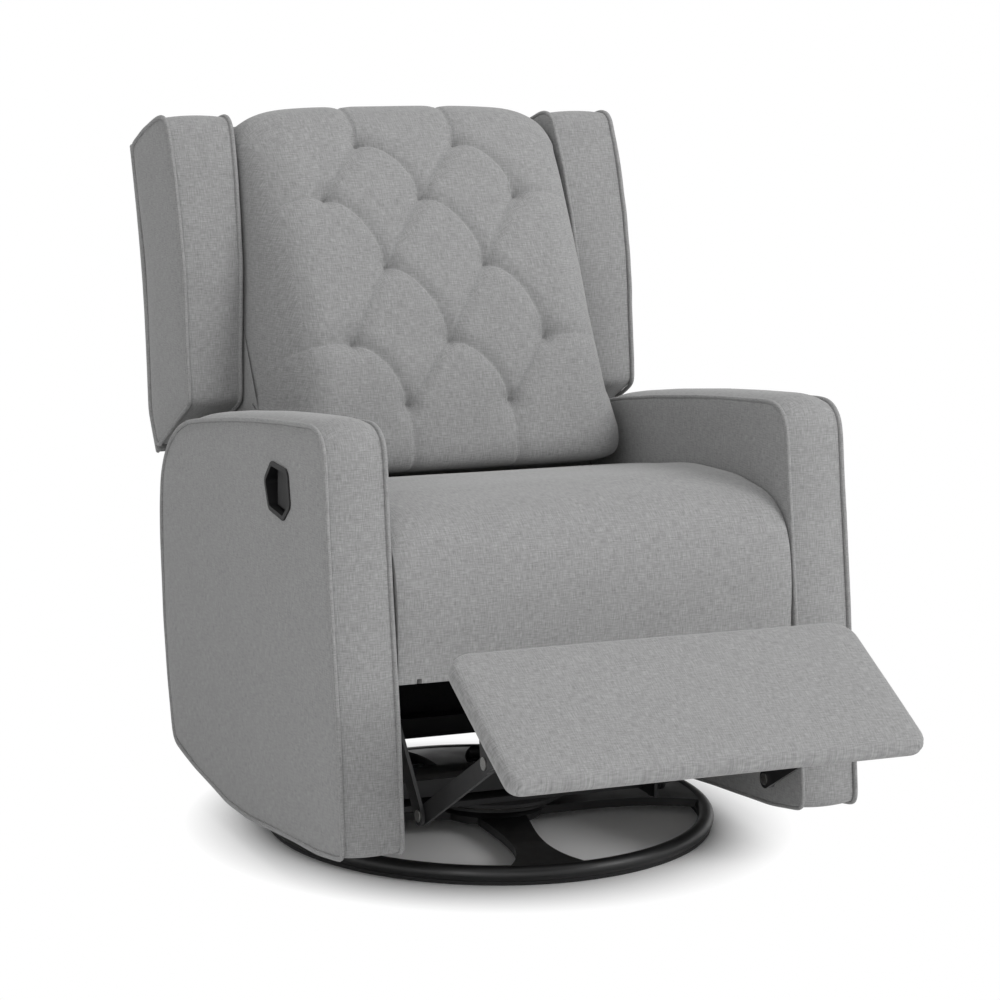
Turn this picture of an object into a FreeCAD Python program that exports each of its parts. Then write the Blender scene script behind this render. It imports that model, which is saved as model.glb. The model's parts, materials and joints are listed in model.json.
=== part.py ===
import FreeCAD, Part
import math
import os

# Swivel glider recliner. Millimetres, X across the chair, Y from front to back, Z up.
# The origin is the swivel axis on the floor. The chair faces -Y.
# All above the turntable is drawn about the glider's middle, and set back from the swivel axis at the end.

V = FreeCAD.Vector

# Sizes that the rest follows from
SEAT_WIDTH = 596.0
ARM_THICKNESS = 90.0
WING_SPAN = 738.0
RING_RADIUS = 333.0
RING_TUBE = 24.0
BODY_SETBACK = 32.0

# Clearances
SEAT_SIDE_GAP = 2.5
PIN_GAP = 0.05
FACE_GAP = 1.0
RUNNER_GAP = 0.5
HEAD_ROOM = 3.2

# Materials in sheet and bar
PLATE = 5.0
THIN_PLATE = 4.0
PIN_RADIUS = 5.0
PIN_HEAD = 2.5
LINK_HALF_WIDTH = 13.0
STRIP_THICKNESS = 2.0

ARM_INNER = SEAT_WIDTH / 2
ARM_OUTER = ARM_INNER + ARM_THICKNESS
WING_OUTER = WING_SPAN / 2
SEAT_HALF = ARM_INNER - SEAT_SIDE_GAP

# Places across the chair, from the arms inwards
SIDE_PLATE_X = ARM_INNER - 8.0
SEAT_PLATE_X = SIDE_PLATE_X - 21.0
SWING_X = SEAT_PLATE_X - 7.0
WING_BOARD_X = SEAT_PLATE_X - 6.0
BRACKET_X = SWING_X - 56.0

# Swivel base
SPOKE_OFFSET_ANGLE = 8.0
HUB_RADIUS = 78.0
SPOKE_TOP = 24.0
SPOKE_SHEET = 3.0
BEARING_RADIUS = 90.0
BEARING_HEIGHT = 7.0
KING_BOLT_RADIUS = 10.0

# Glider suspension
GLIDE_PIVOT_Y = 150.0
GLIDE_TOP_Z = 158.0
GLIDE_LINK = 90.0
RAIL_HEIGHT = 28.0
CROSS_RAIL = 25.0

# Seat slide and back hinge
TRACK_Z = 315.0
TRACK_HEIGHT = 30.0
TRACK_DEPTH = 16.0
TRACK_SHEET = 3.0
TRACK_HALF_LENGTH = 190.0
BACK_HINGE = (235.0, 395.0)
SEAT_FRAME_Z = 345.0
SEAT_FRAME_HEIGHT = 48.0

# Footrest linkage, as it stands with the footrest part open
SWING_PIVOT = (-243.12, 320.38)
ELBOW_PIVOT = (-407.72, 133.96)
PAD_PIVOT = (-626.0, 263.0)
PAD_CENTRE = (-671.0, 342.0)
PAD_TILT = 27.5
PAD_LENGTH = 250.0
PAD_THICKNESS = 34.0
PAD_TOP_CORNER = 34.0
PAD_LOW_CORNER = 20.0
PAD_EDGE = 15.0
PAD_BOARD_INSET = 8.0
PAD_BOARD = 12.0

# Back
FRAME_LEAN = math.radians(18.57)
FRAME_FOOT_Y = 250.0
FRAME_FOOT_Z = 330.0
FRAME_DEPTH = 28.0
WING_BOARD = 12.0
REAR_COVER = 8.0

# Release handle
CUP_WALL = 3.0
CUP_DEPTH = 34.0
CUP_RIM = 7.0
CUP_CORNER = 14.0
LEVER_THICKNESS = 7.0


def side_point(x, place):
    return V(x, place[0], place[1])


def side_wire(x, start, moves):
    """A closed outline in the side plane at x, from lines, arcs and smooth curves."""
    edges = []
    here = start
    for move in moves:
        kind = move[0]
        if kind == "line":
            end = move[1]
            edges.append(Part.makeLine(side_point(x, here), side_point(x, end)))
        elif kind == "arc":
            middle, end = move[1], move[2]
            arc = Part.Arc(side_point(x, here), side_point(x, middle), side_point(x, end))
            edges.append(arc.toShape())
        else:
            points = [here] + list(move[1])
            end = points[-1]
            curve = Part.BSplineCurve()
            curve.interpolate([side_point(x, place) for place in points])
            edges.append(curve.toShape())
        here = end
    if math.dist(here, start) > 1e-6:
        edges.append(Part.makeLine(side_point(x, here), side_point(x, start)))
    return Part.Wire(edges)


def side_prism(x0, x1, start, *moves):
    """A solid with one outline in the side plane, from x0 to x1."""
    face = Part.Face(side_wire(x0, start, moves))
    return face.extrude(V(x1 - x0, 0, 0))


def side_polygon(x0, x1, places):
    lines = [("line", place) for place in places[1:]]
    return side_prism(x0, x1, places[0], *lines)


def block(x0, x1, y0, y1, z0, z1):
    return Part.makeBox(x1 - x0, y1 - y0, z1 - z0, V(x0, y0, z0))


def cross_rod(place, radius, x0, x1):
    return Part.makeCylinder(radius, x1 - x0, side_point(x0, place), V(1, 0, 0))


def upright_rod(x, y, radius, z0, z1):
    return Part.makeCylinder(radius, z1 - z0, V(x, y, z0), V(0, 0, 1))


def mirrored(shape):
    return shape.mirror(V(0, 0, 0), V(1, 0, 0))


def both_sides(*shapes):
    """The right-hand shapes with their mirror images."""
    pairs = []
    for shape in shapes:
        pairs.append(shape)
        pairs.append(mirrored(shape))
    return pairs


def rounded(shape, radius, chosen):
    edges = [edge for edge in shape.Edges if chosen(edge)]
    return shape.makeFillet(radius, edges)


def on_side_faces(x0, x1):
    """Picks the edges that lie on the two side faces of a side prism."""
    def chosen(edge):
        box = edge.BoundBox
        flat = box.XLength < 0.01
        return flat and (abs(box.XMin - x0) < 0.01 or abs(box.XMin - x1) < 0.01)
    return chosen


def link_bar(ends, half_width, x0, x1, holes):
    """A flat bar with round ends between two pivots, with a hole for each hole radius."""
    (y0, z0), (y1, z1) = ends
    length = math.dist(ends[0], ends[1])
    along = ((y1 - y0) / length, (z1 - z0) / length)
    aside = (-along[1] * half_width, along[0] * half_width)
    a_up = (y0 + aside[0], z0 + aside[1])
    a_end = (y0 - along[0] * half_width, z0 - along[1] * half_width)
    a_down = (y0 - aside[0], z0 - aside[1])
    b_down = (y1 - aside[0], z1 - aside[1])
    b_end = (y1 + along[0] * half_width, z1 + along[1] * half_width)
    b_up = (y1 + aside[0], z1 + aside[1])
    bar = side_prism(x0, x1, a_up, ("arc", a_end, a_down), ("line", b_down), ("arc", b_end, b_up))
    for place, radius in zip(ends, holes):
        if radius:
            bar = bar.cut(cross_rod(place, radius, x0 - 1, x1 + 1))
    return bar


def rivet(place, x0, x1, radius=PIN_RADIUS, head=PIN_HEAD):
    """A shaft from x0 to x1 with a flat round head outside each end."""
    shaft = cross_rod(place, radius, x0 - head, x1 + head)
    heads = [cross_rod(place, radius * 1.7, x0 - head, x0), cross_rod(place, radius * 1.7, x1, x1 + head)]
    return shaft.fuse(heads).removeSplitter()


def export(node, solids):
    shape = solids[0] if len(solids) == 1 else Part.makeCompound(solids)
    shape.exportStep("parts/" + node + ".step")


def export_body(node, solids):
    """Exports a piece that was drawn about the glider's middle."""
    export(node, [solid.translated(V(0, BODY_SETBACK, 0)) for solid in solids])


PIN_HOLE = PIN_RADIUS + PIN_GAP
RING_CENTRE = RING_RADIUS - RING_TUBE / 2
TUBE_Z = STRIP_THICKNESS + RING_TUBE / 2


# Swivel base

def base_ring():
    outer = Part.makeTorus(RING_CENTRE, RING_TUBE / 2, V(0, 0, TUBE_Z))
    inner = Part.makeTorus(RING_CENTRE, RING_TUBE / 2 - 2, V(0, 0, TUBE_Z))
    return [outer.cut(inner)]


def floor_strip():
    """The plastic strip under the ring, hollowed to the tube."""
    half = RING_TUBE * 0.34
    band = upright_rod(0, 0, RING_CENTRE + half, 0, STRIP_THICKNESS + 3)
    band = band.cut(upright_rod(0, 0, RING_CENTRE - half, -1, STRIP_THICKNESS + 4))
    tube = Part.makeTorus(RING_CENTRE, RING_TUBE / 2, V(0, 0, TUBE_Z))
    return [band.cut(tube)]


def spoke_outline(z, shrink):
    """The plan of the pressed cross: a round hub and four spokes that widen at the ring."""
    hub = Part.Face(Part.Wire(Part.makeCircle(HUB_RADIUS - shrink, V(0, 0, z))))
    spokes = []
    waist = 26 - shrink
    foot = 62 - shrink
    reach = RING_CENTRE - shrink
    for quarter in range(4):
        right_side = Part.BSplineCurve()
        right_side.interpolate([V(0, -waist - 12, z), V(130, -waist - 3, z), V(230, -waist, z), V(reach, -foot, z)])
        left_side = Part.BSplineCurve()
        left_side.interpolate([V(0, waist + 12, z), V(130, waist + 3, z), V(230, waist, z), V(reach, foot, z)])
        edges = [
            right_side.toShape(),
            Part.makeLine(V(reach, -foot, z), V(reach, foot, z)),
            left_side.toShape(),
            Part.makeLine(V(0, waist + 12, z), V(0, -waist - 12, z)),
        ]
        face = Part.Face(Part.Wire(Part.__sortEdges__(edges)))
        face.rotate(V(0, 0, 0), V(0, 0, 1), 90 * quarter - 90 - SPOKE_OFFSET_ANGLE)
        spokes.append(face)
    return hub, spokes


def base_cross():
    """The pressed cross, open below, with its ends shaped to the tube."""
    skirt = SPOKE_TOP - 12
    hub, spokes = spoke_outline(skirt, 0)
    rise = V(0, 0, SPOKE_TOP - skirt)
    solid = hub.extrude(rise).fuse([face.extrude(rise) for face in spokes])
    hub, spokes = spoke_outline(skirt, SPOKE_SHEET)
    depth = V(0, 0, SPOKE_TOP - skirt - SPOKE_SHEET)
    hollow = hub.extrude(depth).fuse([face.extrude(depth) for face in spokes])
    boss = Part.makeCone(HUB_RADIUS + 6, HUB_RADIUS - 6, 12, V(0, 0, SPOKE_TOP))
    solid = solid.cut(hollow).fuse(boss)
    solid = solid.cut(upright_rod(0, 0, KING_BOLT_RADIUS, 0, SPOKE_TOP + 20))
    tube = Part.makeTorus(RING_CENTRE, RING_TUBE / 2, V(0, 0, TUBE_Z))
    solid = solid.cut(tube)
    outside = upright_rod(0, 0, RING_RADIUS + 60, 0, SPOKE_TOP + 30)
    outside = outside.cut(upright_rod(0, 0, RING_CENTRE, -1, SPOKE_TOP + 31))
    return [solid.cut(outside).removeSplitter()]


HUB_TOP = SPOKE_TOP + 12
LOWER_PLATE_TOP = HUB_TOP + THIN_PLATE
BEARING_TOP = LOWER_PLATE_TOP + BEARING_HEIGHT
TURN_PLATE_TOP = BEARING_TOP + PIN_GAP + PLATE


def lower_swivel_plate():
    plate = upright_rod(0, 0, BEARING_RADIUS + 8, HUB_TOP, LOWER_PLATE_TOP)
    return [plate.cut(upright_rod(0, 0, KING_BOLT_RADIUS, 0, HUB_TOP + 20))]


def thrust_bearing():
    ring = upright_rod(0, 0, BEARING_RADIUS, LOWER_PLATE_TOP, BEARING_TOP)
    return [ring.cut(upright_rod(0, 0, BEARING_RADIUS - 22, 0, BEARING_TOP + 1))]


def king_bolt():
    """The bolt that holds the turntable on the base, with its head below and its nut above."""
    shaft = upright_rod(0, 0, KING_BOLT_RADIUS, SPOKE_TOP - 12, TURN_PLATE_TOP + 14)
    head = upright_rod(0, 0, KING_BOLT_RADIUS * 1.8, SPOKE_TOP - 12, SPOKE_TOP - SPOKE_SHEET)
    head = head.common(upright_rod(0, 0, HUB_RADIUS, 0, SPOKE_TOP - SPOKE_SHEET))
    return [shaft.fuse(head).removeSplitter()]


def king_nut():
    washer_z = TURN_PLATE_TOP + PIN_GAP
    washer = upright_rod(0, 0, KING_BOLT_RADIUS * 2.2, washer_z, washer_z + 2)
    wire = Part.makePolygon(
        [V(KING_BOLT_RADIUS * 1.7 * math.cos(math.radians(60 * k)),
           KING_BOLT_RADIUS * 1.7 * math.sin(math.radians(60 * k)), washer_z + 2) for k in range(7)])
    nut = Part.Face(wire).extrude(V(0, 0, 9))
    both = washer.fuse(nut)
    return [both.cut(upright_rod(0, 0, KING_BOLT_RADIUS, 0, washer_z + 30)).removeSplitter()]


# Turntable with the brackets that the glider hangs on

def turntable_plate():
    z0 = BEARING_TOP + PIN_GAP
    plate = upright_rod(0, 0, BEARING_RADIUS + 25, z0, TURN_PLATE_TOP)
    return [plate.cut(upright_rod(0, 0, KING_BOLT_RADIUS + PIN_GAP, 0, z0 + 20))]


def glide_cross_bars():
    bars = []
    for y in (-75, 75):
        bars.append(block(-BRACKET_X, BRACKET_X, y - 20, y + 20, TURN_PLATE_TOP, TURN_PLATE_TOP + 8))
    return bars


def glide_bracket():
    """A side plate of the turntable with an ear at each upper pivot."""
    z0 = TURN_PLATE_TOP - PLATE
    sill = z0 + 14
    ear = LINK_HALF_WIDTH + 3
    x0, x1 = BRACKET_X, BRACKET_X + PLATE
    plate = side_polygon(x0, x1, [
        (-GLIDE_PIVOT_Y - ear, z0), (GLIDE_PIVOT_Y + ear, z0),
        (GLIDE_PIVOT_Y + ear, sill), (-GLIDE_PIVOT_Y - ear, sill)])
    for y in (-GLIDE_PIVOT_Y, GLIDE_PIVOT_Y):
        upright = link_bar([(y, sill), (y, GLIDE_TOP_Z)], ear, x0, x1, (0, 0))
        plate = plate.fuse(upright)
    plate = plate.removeSplitter()
    for y in (-GLIDE_PIVOT_Y, GLIDE_PIVOT_Y):
        plate = plate.cut(cross_rod((y, GLIDE_TOP_Z), PIN_RADIUS, x0 - 1, x1 + 1))
    return plate


GLIDE_LOW_Z = GLIDE_TOP_Z - GLIDE_LINK
GLIDE_LINK_X = BRACKET_X + PLATE + HEAD_ROOM
CHASSIS_RAIL_X = GLIDE_LINK_X + PLATE + FACE_GAP


def glide_top_pins():
    pins = []
    for y in (-GLIDE_PIVOT_Y, GLIDE_PIVOT_Y):
        pins += both_sides(rivet((y, GLIDE_TOP_Z), BRACKET_X, GLIDE_LINK_X + PLATE + 0.3))
    return pins


def glide_links(y):
    bar = link_bar([(y, GLIDE_TOP_Z), (y, GLIDE_LOW_Z)], LINK_HALF_WIDTH,
                   GLIDE_LINK_X, GLIDE_LINK_X + PLATE, (PIN_HOLE, PIN_HOLE))
    return both_sides(bar)


# Chassis: rails, side plates and arms

REAR_RAIL_Y = 222.0
FRONT_RAIL_Y = -109.0
CROSS_RAIL_Z = GLIDE_LOW_Z - 2


def chassis_rails():
    half = RAIL_HEIGHT / 2
    rear = REAR_RAIL_Y
    x0, x1 = CHASSIS_RAIL_X, CHASSIS_RAIL_X + PLATE
    rail = link_bar([(-GLIDE_PIVOT_Y, GLIDE_LOW_Z), (rear, GLIDE_LOW_Z)], half, x0, x1, (0, 0))
    rail = rail.cut(block(x0 - 1, x1 + 1, rear, rear + RAIL_HEIGHT, 0, GLIDE_LOW_Z + RAIL_HEIGHT))
    rail = rail.cut(block(x0 - 1, x1 + 1, FRONT_RAIL_Y, FRONT_RAIL_Y + 30, CROSS_RAIL_Z, GLIDE_LOW_Z + RAIL_HEIGHT))
    for y in (-GLIDE_PIVOT_Y, GLIDE_PIVOT_Y):
        rail = rail.cut(cross_rod((y, GLIDE_LOW_Z), PIN_RADIUS, x0 - 1, x1 + 1))
    return both_sides(rail)


def glide_low_pins():
    pins = []
    for y in (-GLIDE_PIVOT_Y, GLIDE_PIVOT_Y):
        pins += both_sides(rivet((y, GLIDE_LOW_Z), GLIDE_LINK_X - 0.3, CHASSIS_RAIL_X + PLATE, head=2.0))
    return pins


def cross_rails():
    rails = []
    for y in (FRONT_RAIL_Y, REAR_RAIL_Y):
        rails.append(block(-SIDE_PLATE_X, SIDE_PLATE_X, y, y + 30, CROSS_RAIL_Z, CROSS_RAIL_Z + CROSS_RAIL))
    return rails


def side_plate():
    """The steel plate on the inside of an arm, with one leg to each cross rail."""
    x0, x1 = SIDE_PLATE_X, SIDE_PLATE_X + THIN_PLATE
    low = CROSS_RAIL_Z
    front, rear = FRONT_RAIL_Y, REAR_RAIL_Y
    return side_polygon(x0, x1, [
        (-TRACK_HALF_LENGTH - 10, TRACK_Z + 20), (-TRACK_HALF_LENGTH - 10, TRACK_Z - 30),
        (front - 15, TRACK_Z - 105), (front, low), (front + 30, low), (front + 45, TRACK_Z - 115),
        (rear - 15, TRACK_Z - 115), (rear, low), (rear + 30, low), (rear + 30, TRACK_Z - 85),
        (TRACK_HALF_LENGTH + 20, TRACK_Z + 20)])


def seat_track():
    """The channel on a side plate that the seat runner slides in."""
    outer_x = SIDE_PLATE_X
    inner_x = outer_x - TRACK_DEPTH
    half = TRACK_HEIGHT / 2
    bar = block(inner_x, outer_x, -TRACK_HALF_LENGTH, TRACK_HALF_LENGTH, TRACK_Z - half, TRACK_Z + half)
    groove = block(inner_x - 1, outer_x - TRACK_SHEET, -TRACK_HALF_LENGTH - 1, TRACK_HALF_LENGTH + 1,
                   TRACK_Z - half + TRACK_SHEET, TRACK_Z + half - TRACK_SHEET)
    return bar.cut(groove)


ARM_FRONT = [(-440, 95), (-417, 257), (-385, 456), (-360, 615)]
ARM_BOTTOM = [(281, 76), (177, 60), (34, 47), (-166, 61), (-351, 79), (-440, 95)]
ARM_FRAME_OUT = [(-400, 125), (-336, 585), (286, 495), (250, 108)]
ARM_FRAME_IN = [(-345, 170), (-292, 532), (238, 455), (205, 158)]
ARM_MOUTH = [(-385, 135), (-345, 430), (255, 430), (232, 118)]
FRAME_X0 = ARM_INNER + 14
FRAME_X1 = ARM_INNER + 54


def arm_outline_prism(x0, x1):
    return side_prism(
        x0, x1, ARM_FRONT[0],
        ("curve", ARM_FRONT[1:]),
        ("arc", (-346, 649), (-312, 658)),
        ("line", (215, 582)),
        ("arc", (303, 545), (345, 486)),
        ("curve", [(333, 261), (281, 76)]),
        ("curve", ARM_BOTTOM[1:]))


def arm_upholstery():
    """The padded arm, hollow for its wooden frame and open to the inside below the seat."""
    solid = arm_outline_prism(ARM_INNER, ARM_OUTER)
    solid = rounded(solid, 9, on_side_faces(ARM_INNER, ARM_OUTER))
    solid = solid.cut(side_polygon(FRAME_X0, FRAME_X1, ARM_FRAME_OUT))
    return solid.cut(side_polygon(ARM_INNER - 1, FRAME_X0 + 1, ARM_MOUTH))


def arm_frame():
    """The four wooden boards of an arm, mitred at the corners."""
    boards = []
    for k in range(4):
        n = (k + 1) % 4
        quad = [ARM_FRAME_OUT[k], ARM_FRAME_OUT[n], ARM_FRAME_IN[n], ARM_FRAME_IN[k]]
        boards.append(side_polygon(FRAME_X0, FRAME_X1, quad))
    return boards


BOLT_Z = TRACK_Z - TRACK_HEIGHT / 2 - 10
ARM_BOLTS = [(-180, BOLT_Z), (40, BOLT_Z), (180, BOLT_Z), (REAR_RAIL_Y + 6, TRACK_Z - 145)]
BOLT_RADIUS = 4.0


def arm_lining():
    """The thin board with black cloth that closes the inside of an arm."""
    sheet = side_polygon(ARM_INNER, ARM_INNER + 3, ARM_MOUTH)
    for place in ARM_BOLTS:
        sheet = sheet.cut(cross_rod(place, BOLT_RADIUS, ARM_INNER - 1, ARM_INNER + 4))
    return sheet


def arm_bolts():
    """Bolts with a spacer each, from the side plate through the lining."""
    bolts = []
    for place in ARM_BOLTS:
        head = cross_rod(place, BOLT_RADIUS * 1.8, SIDE_PLATE_X - 4, SIDE_PLATE_X)
        shaft = cross_rod(place, BOLT_RADIUS, SIDE_PLATE_X - 4, ARM_INNER + 10)
        spacer = cross_rod(place, BOLT_RADIUS * 1.8, SIDE_PLATE_X + THIN_PLATE, ARM_INNER)
        bolts.append(head.fuse([shaft, spacer]).removeSplitter())
    return bolts


def bolted_side_plate():
    plate = side_plate()
    for place in ARM_BOLTS:
        plate = plate.cut(cross_rod(place, BOLT_RADIUS, SIDE_PLATE_X - 1, SIDE_PLATE_X + THIN_PLATE + 1))
    return plate


def rear_valance():
    """The black cloth on a thin board that closes the space under the seat at the back, between the arms."""
    half = ARM_INNER - 0.5
    return [side_polygon(-half, half, [(289, 40), (297, 40), (325, 300), (317, 300)])]


# Release handle in the left arm

CUP_OUTLINE = [(-227, 580), (-160, 582), (-131, 552), (-151, 512), (-211, 506), (-239, 530)]
LEVER_PIVOT = (-ARM_OUTER + 10, -222.0)


def offset_polygon(places, inset):
    """The same polygon with every side moved inwards."""
    moved = []
    count = len(places)
    sides = []
    for k in range(count):
        (y0, z0), (y1, z1) = places[k], places[(k + 1) % count]
        length = math.dist((y0, z0), (y1, z1))
        inward = ((z1 - z0) / length * -1, (y1 - y0) / length)
        centre_y = sum(place[0] for place in places) / count
        centre_z = sum(place[1] for place in places) / count
        if (centre_y - y0) * inward[0] + (centre_z - z0) * inward[1] < 0:
            inward = (-inward[0], -inward[1])
        sides.append(((y0 + inward[0] * inset, z0 + inward[1] * inset), ((y1 - y0), (z1 - z0))))
    for k in range(count):
        (py, pz), (dy, dz) = sides[k - 1]
        (qy, qz), (ey, ez) = sides[k]
        t = ((qy - py) * ez - (qz - pz) * ey) / (dy * ez - dz * ey)
        moved.append((py + dy * t, pz + dz * t))
    return moved


def release_cup_body(inset, x0, x1):
    """The cup's outline moved inwards, with round corners about the same centres."""
    body = side_polygon(x0, x1, offset_polygon(CUP_OUTLINE, inset))
    return rounded(body, CUP_CORNER - inset, lambda edge: edge.BoundBox.XLength > 0.5)


def release_cup():
    """The recessed plastic cup with its rim on the arm's outside, and its pivot post."""
    face_x = -ARM_OUTER
    rim = release_cup_body(0, face_x - 2, face_x)
    rim = rounded(rim, 1.2, lambda edge: edge.BoundBox.XLength < 0.01 and edge.BoundBox.XMin < face_x - 1.9)
    wall = release_cup_body(CUP_RIM - CUP_WALL, face_x, face_x + CUP_DEPTH)
    cup = rim.fuse(wall)
    cup = cup.cut(release_cup_body(CUP_RIM, face_x - 3, face_x + CUP_DEPTH - CUP_WALL))
    pivot = lever_pin()
    return [cup.removeSplitter().cut(pivot)]


def lever_pin():
    z0, z1 = 500.0, 590.0
    return upright_rod(LEVER_PIVOT[0], LEVER_PIVOT[1], 2.5, z0, z1)


def release_pin():
    room = release_cup_body(CUP_RIM - CUP_WALL, -ARM_OUTER, -ARM_OUTER + CUP_DEPTH)
    return [lever_pin().common(room)]


def release_lever():
    """The paddle in the cup, pulled outwards by its rear edge."""
    x0 = LEVER_PIVOT[0] - LEVER_THICKNESS / 2
    x1 = LEVER_PIVOT[0] + LEVER_THICKNESS / 2
    paddle = release_cup_body(CUP_RIM + 3, x0, x1)
    paddle = paddle.cut(block(x0 - 1, x1 + 1, -165, 0, 400, 700))
    paddle = paddle.cut(block(x0 - 1, x1 + 1, -400, LEVER_PIVOT[1] - 6, 400, 700))
    paddle = rounded(paddle, 2.5, lambda edge: edge.BoundBox.XLength < 0.01)
    return [paddle.cut(upright_rod(LEVER_PIVOT[0], LEVER_PIVOT[1], 2.5 + PIN_GAP, 480, 610))]


def arm_with_cup():
    """The left arm with the hole that the release cup sits in."""
    arm = mirrored(arm_upholstery())
    hole = release_cup_body(CUP_RIM - CUP_WALL, -ARM_OUTER - 1, -ARM_OUTER + CUP_DEPTH)
    return arm.cut(hole)


# Seat: plates, runners, frame, springs and cushion

def seat_plate():
    """The plate that carries the seat rail, the runner, the footrest pivot and the back hinge."""
    x0, x1 = SEAT_PLATE_X, SEAT_PLATE_X + THIN_PLATE
    nose = LINK_HALF_WIDTH + 3
    swing_y, swing_z = SWING_PIVOT
    hinge_y, hinge_z = BACK_HINGE
    ear = 16.0
    plate = side_prism(
        x0, x1, (swing_y, swing_z - nose),
        ("line", (hinge_y - 30, swing_z - nose)),
        ("line", (hinge_y + ear, hinge_z - 30)),
        ("line", (hinge_y + ear, hinge_z)),
        ("arc", (hinge_y, hinge_z + ear), (hinge_y - ear, hinge_z)),
        ("line", (hinge_y - ear, SEAT_FRAME_Z + 35)),
        ("line", (swing_y - nose, SEAT_FRAME_Z + 35)),
        ("line", (swing_y - nose, swing_z)),
        ("arc", (swing_y - nose * 0.7071, swing_z - nose * 0.7071), (swing_y, swing_z - nose)))
    for place in (SWING_PIVOT, BACK_HINGE):
        plate = plate.cut(cross_rod(place, PIN_RADIUS, x0 - 1, x1 + 1))
    return plate


def seat_runner():
    half = TRACK_HEIGHT / 2 - TRACK_SHEET - RUNNER_GAP
    x0 = SEAT_PLATE_X + THIN_PLATE
    x1 = SIDE_PLATE_X - TRACK_SHEET - RUNNER_GAP
    return block(x0, x1, -TRACK_HALF_LENGTH + 60, TRACK_HALF_LENGTH - 15, TRACK_Z - half, TRACK_Z + half)


FRAME_FRONT_Y = -368.0
FRAME_REAR_Y = 185.0
BOARD = 25.0
SEAT_NOSE = 40.0
FRAME_TOP = SEAT_FRAME_Z + SEAT_FRAME_HEIGHT


def seat_frame():
    """The four wooden rails under the seat cushion."""
    side_out = SEAT_PLATE_X
    side_in = side_out - BOARD
    front = block(-side_out, side_out, FRAME_FRONT_Y, FRAME_FRONT_Y + BOARD, SEAT_FRAME_Z, FRAME_TOP)
    rear = block(-side_in, side_in, FRAME_REAR_Y - BOARD, FRAME_REAR_Y, SEAT_FRAME_Z, FRAME_TOP)
    side = block(side_in, side_out, FRAME_FRONT_Y + BOARD, FRAME_REAR_Y, SEAT_FRAME_Z, FRAME_TOP)
    return [front, rear] + both_sides(side)


def seat_springs():
    """Five zigzag wire springs from the front rail to the rear rail, let into the rails' tops."""
    wire = 1.9
    top = FRAME_TOP - wire - 0.5
    y0 = FRAME_FRONT_Y + BOARD
    y1 = FRAME_REAR_Y - BOARD
    turns = 22
    pitch = (y1 - y0) / turns
    half_width = 20.0
    radius = pitch / 2
    springs = []
    for x in (-170, -85, 0, 85, 170):
        edges = []
        side = 1
        y = y0 + radius
        edges.append(Part.makeLine(V(x, y0, top), V(x, y, top)))
        edges.append(Part.makeLine(V(x, y, top), V(x + half_width, y, top)))
        for k in range(turns - 1):
            end_x = x + side * half_width
            tip = V(end_x + side * radius, y + radius, top)
            edges.append(Part.Arc(V(end_x, y, top), tip, V(end_x, y + pitch, top)).toShape())
            y += pitch
            last = k == turns - 2
            far_x = x if last else x - side * half_width
            edges.append(Part.makeLine(V(end_x, y, top), V(far_x, y, top)))
            side = -side
        edges.append(Part.makeLine(V(x, y, top), V(x, y1, top)))
        path = Part.Wire(edges)
        profile = Part.Wire(Part.makeCircle(wire, V(x, y0, top), V(0, 1, 0)))
        springs.append(path.makePipeShell([profile], True, False, 2))
    return springs


def seat_cushion():
    """The seat pad with its waterfall front, which laps over the front rail and clears the swing links."""
    lap_back = FRAME_FRONT_Y - FACE_GAP
    base = FRAME_TOP
    rear = FRAME_REAR_Y
    nose = FRAME_FRONT_Y - SEAT_NOSE
    pad = side_prism(
        -SEAT_HALF, SEAT_HALF, (lap_back, base - 85),
        ("line", (lap_back, base)),
        ("line", (rear + 5, base)),
        ("line", (rear + 8, base + 59)),
        ("arc", (rear + 2, base + 77), (rear - 15, base + 88)),
        ("curve", [(rear - 145, base + 116), (rear - 295, base + 142), (nose + 173, base + 150),
                   (nose + 97, base + 141), (nose + 45, base + 119), (nose + 13, base + 77), (nose, base - 4),
                   (nose + 6, base - 78)]),
        ("line", (nose + 13, base - 85)))

    def top_and_front(edge):
        box = edge.BoundBox
        front_edge = box.YMax < FRAME_FRONT_Y - 10 and box.ZLength > 100
        top_edge = box.YLength > 120 and box.ZMax > 480
        return box.XLength < 0.01 and (front_edge or top_edge)

    pad = rounded(pad, 16, top_and_front)
    x0, x1 = SWING_X - FACE_GAP, SWING_X + PLATE + FACE_GAP
    link_room = block(x0, x1, nose - 1, lap_back + 1, base - 86, SWING_PIVOT[1])
    return [pad.cut(both_sides(link_room))]


# Footrest

def drive_tube():
    """The square tube that turns both swing links together."""
    half = 8.0
    y, z = SWING_PIVOT
    return [block(-SWING_X, SWING_X, y - half, y + half, z - half, z + half)]


def swing_links():
    bar = link_bar([SWING_PIVOT, ELBOW_PIVOT], LINK_HALF_WIDTH, SWING_X, SWING_X + PLATE, (PIN_HOLE, PIN_HOLE))
    return both_sides(bar)


def shin_links():
    x0 = SWING_X - FACE_GAP - PLATE
    bar = link_bar([ELBOW_PIVOT, PAD_PIVOT], LINK_HALF_WIDTH, x0, x0 + PLATE, (PIN_RADIUS, PIN_RADIUS))
    return both_sides(bar)


def swing_pins():
    """The pins on the seat plates that the swing links turn on."""
    x0 = SWING_X
    pin = cross_rod(SWING_PIVOT, PIN_RADIUS, x0 + 0.2, SEAT_PLATE_X + THIN_PLATE + 3)
    head = cross_rod(SWING_PIVOT, PIN_RADIUS * 1.7, SEAT_PLATE_X + THIN_PLATE, SEAT_PLATE_X + THIN_PLATE + 3)
    return both_sides(pin.fuse(head).removeSplitter())


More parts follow.
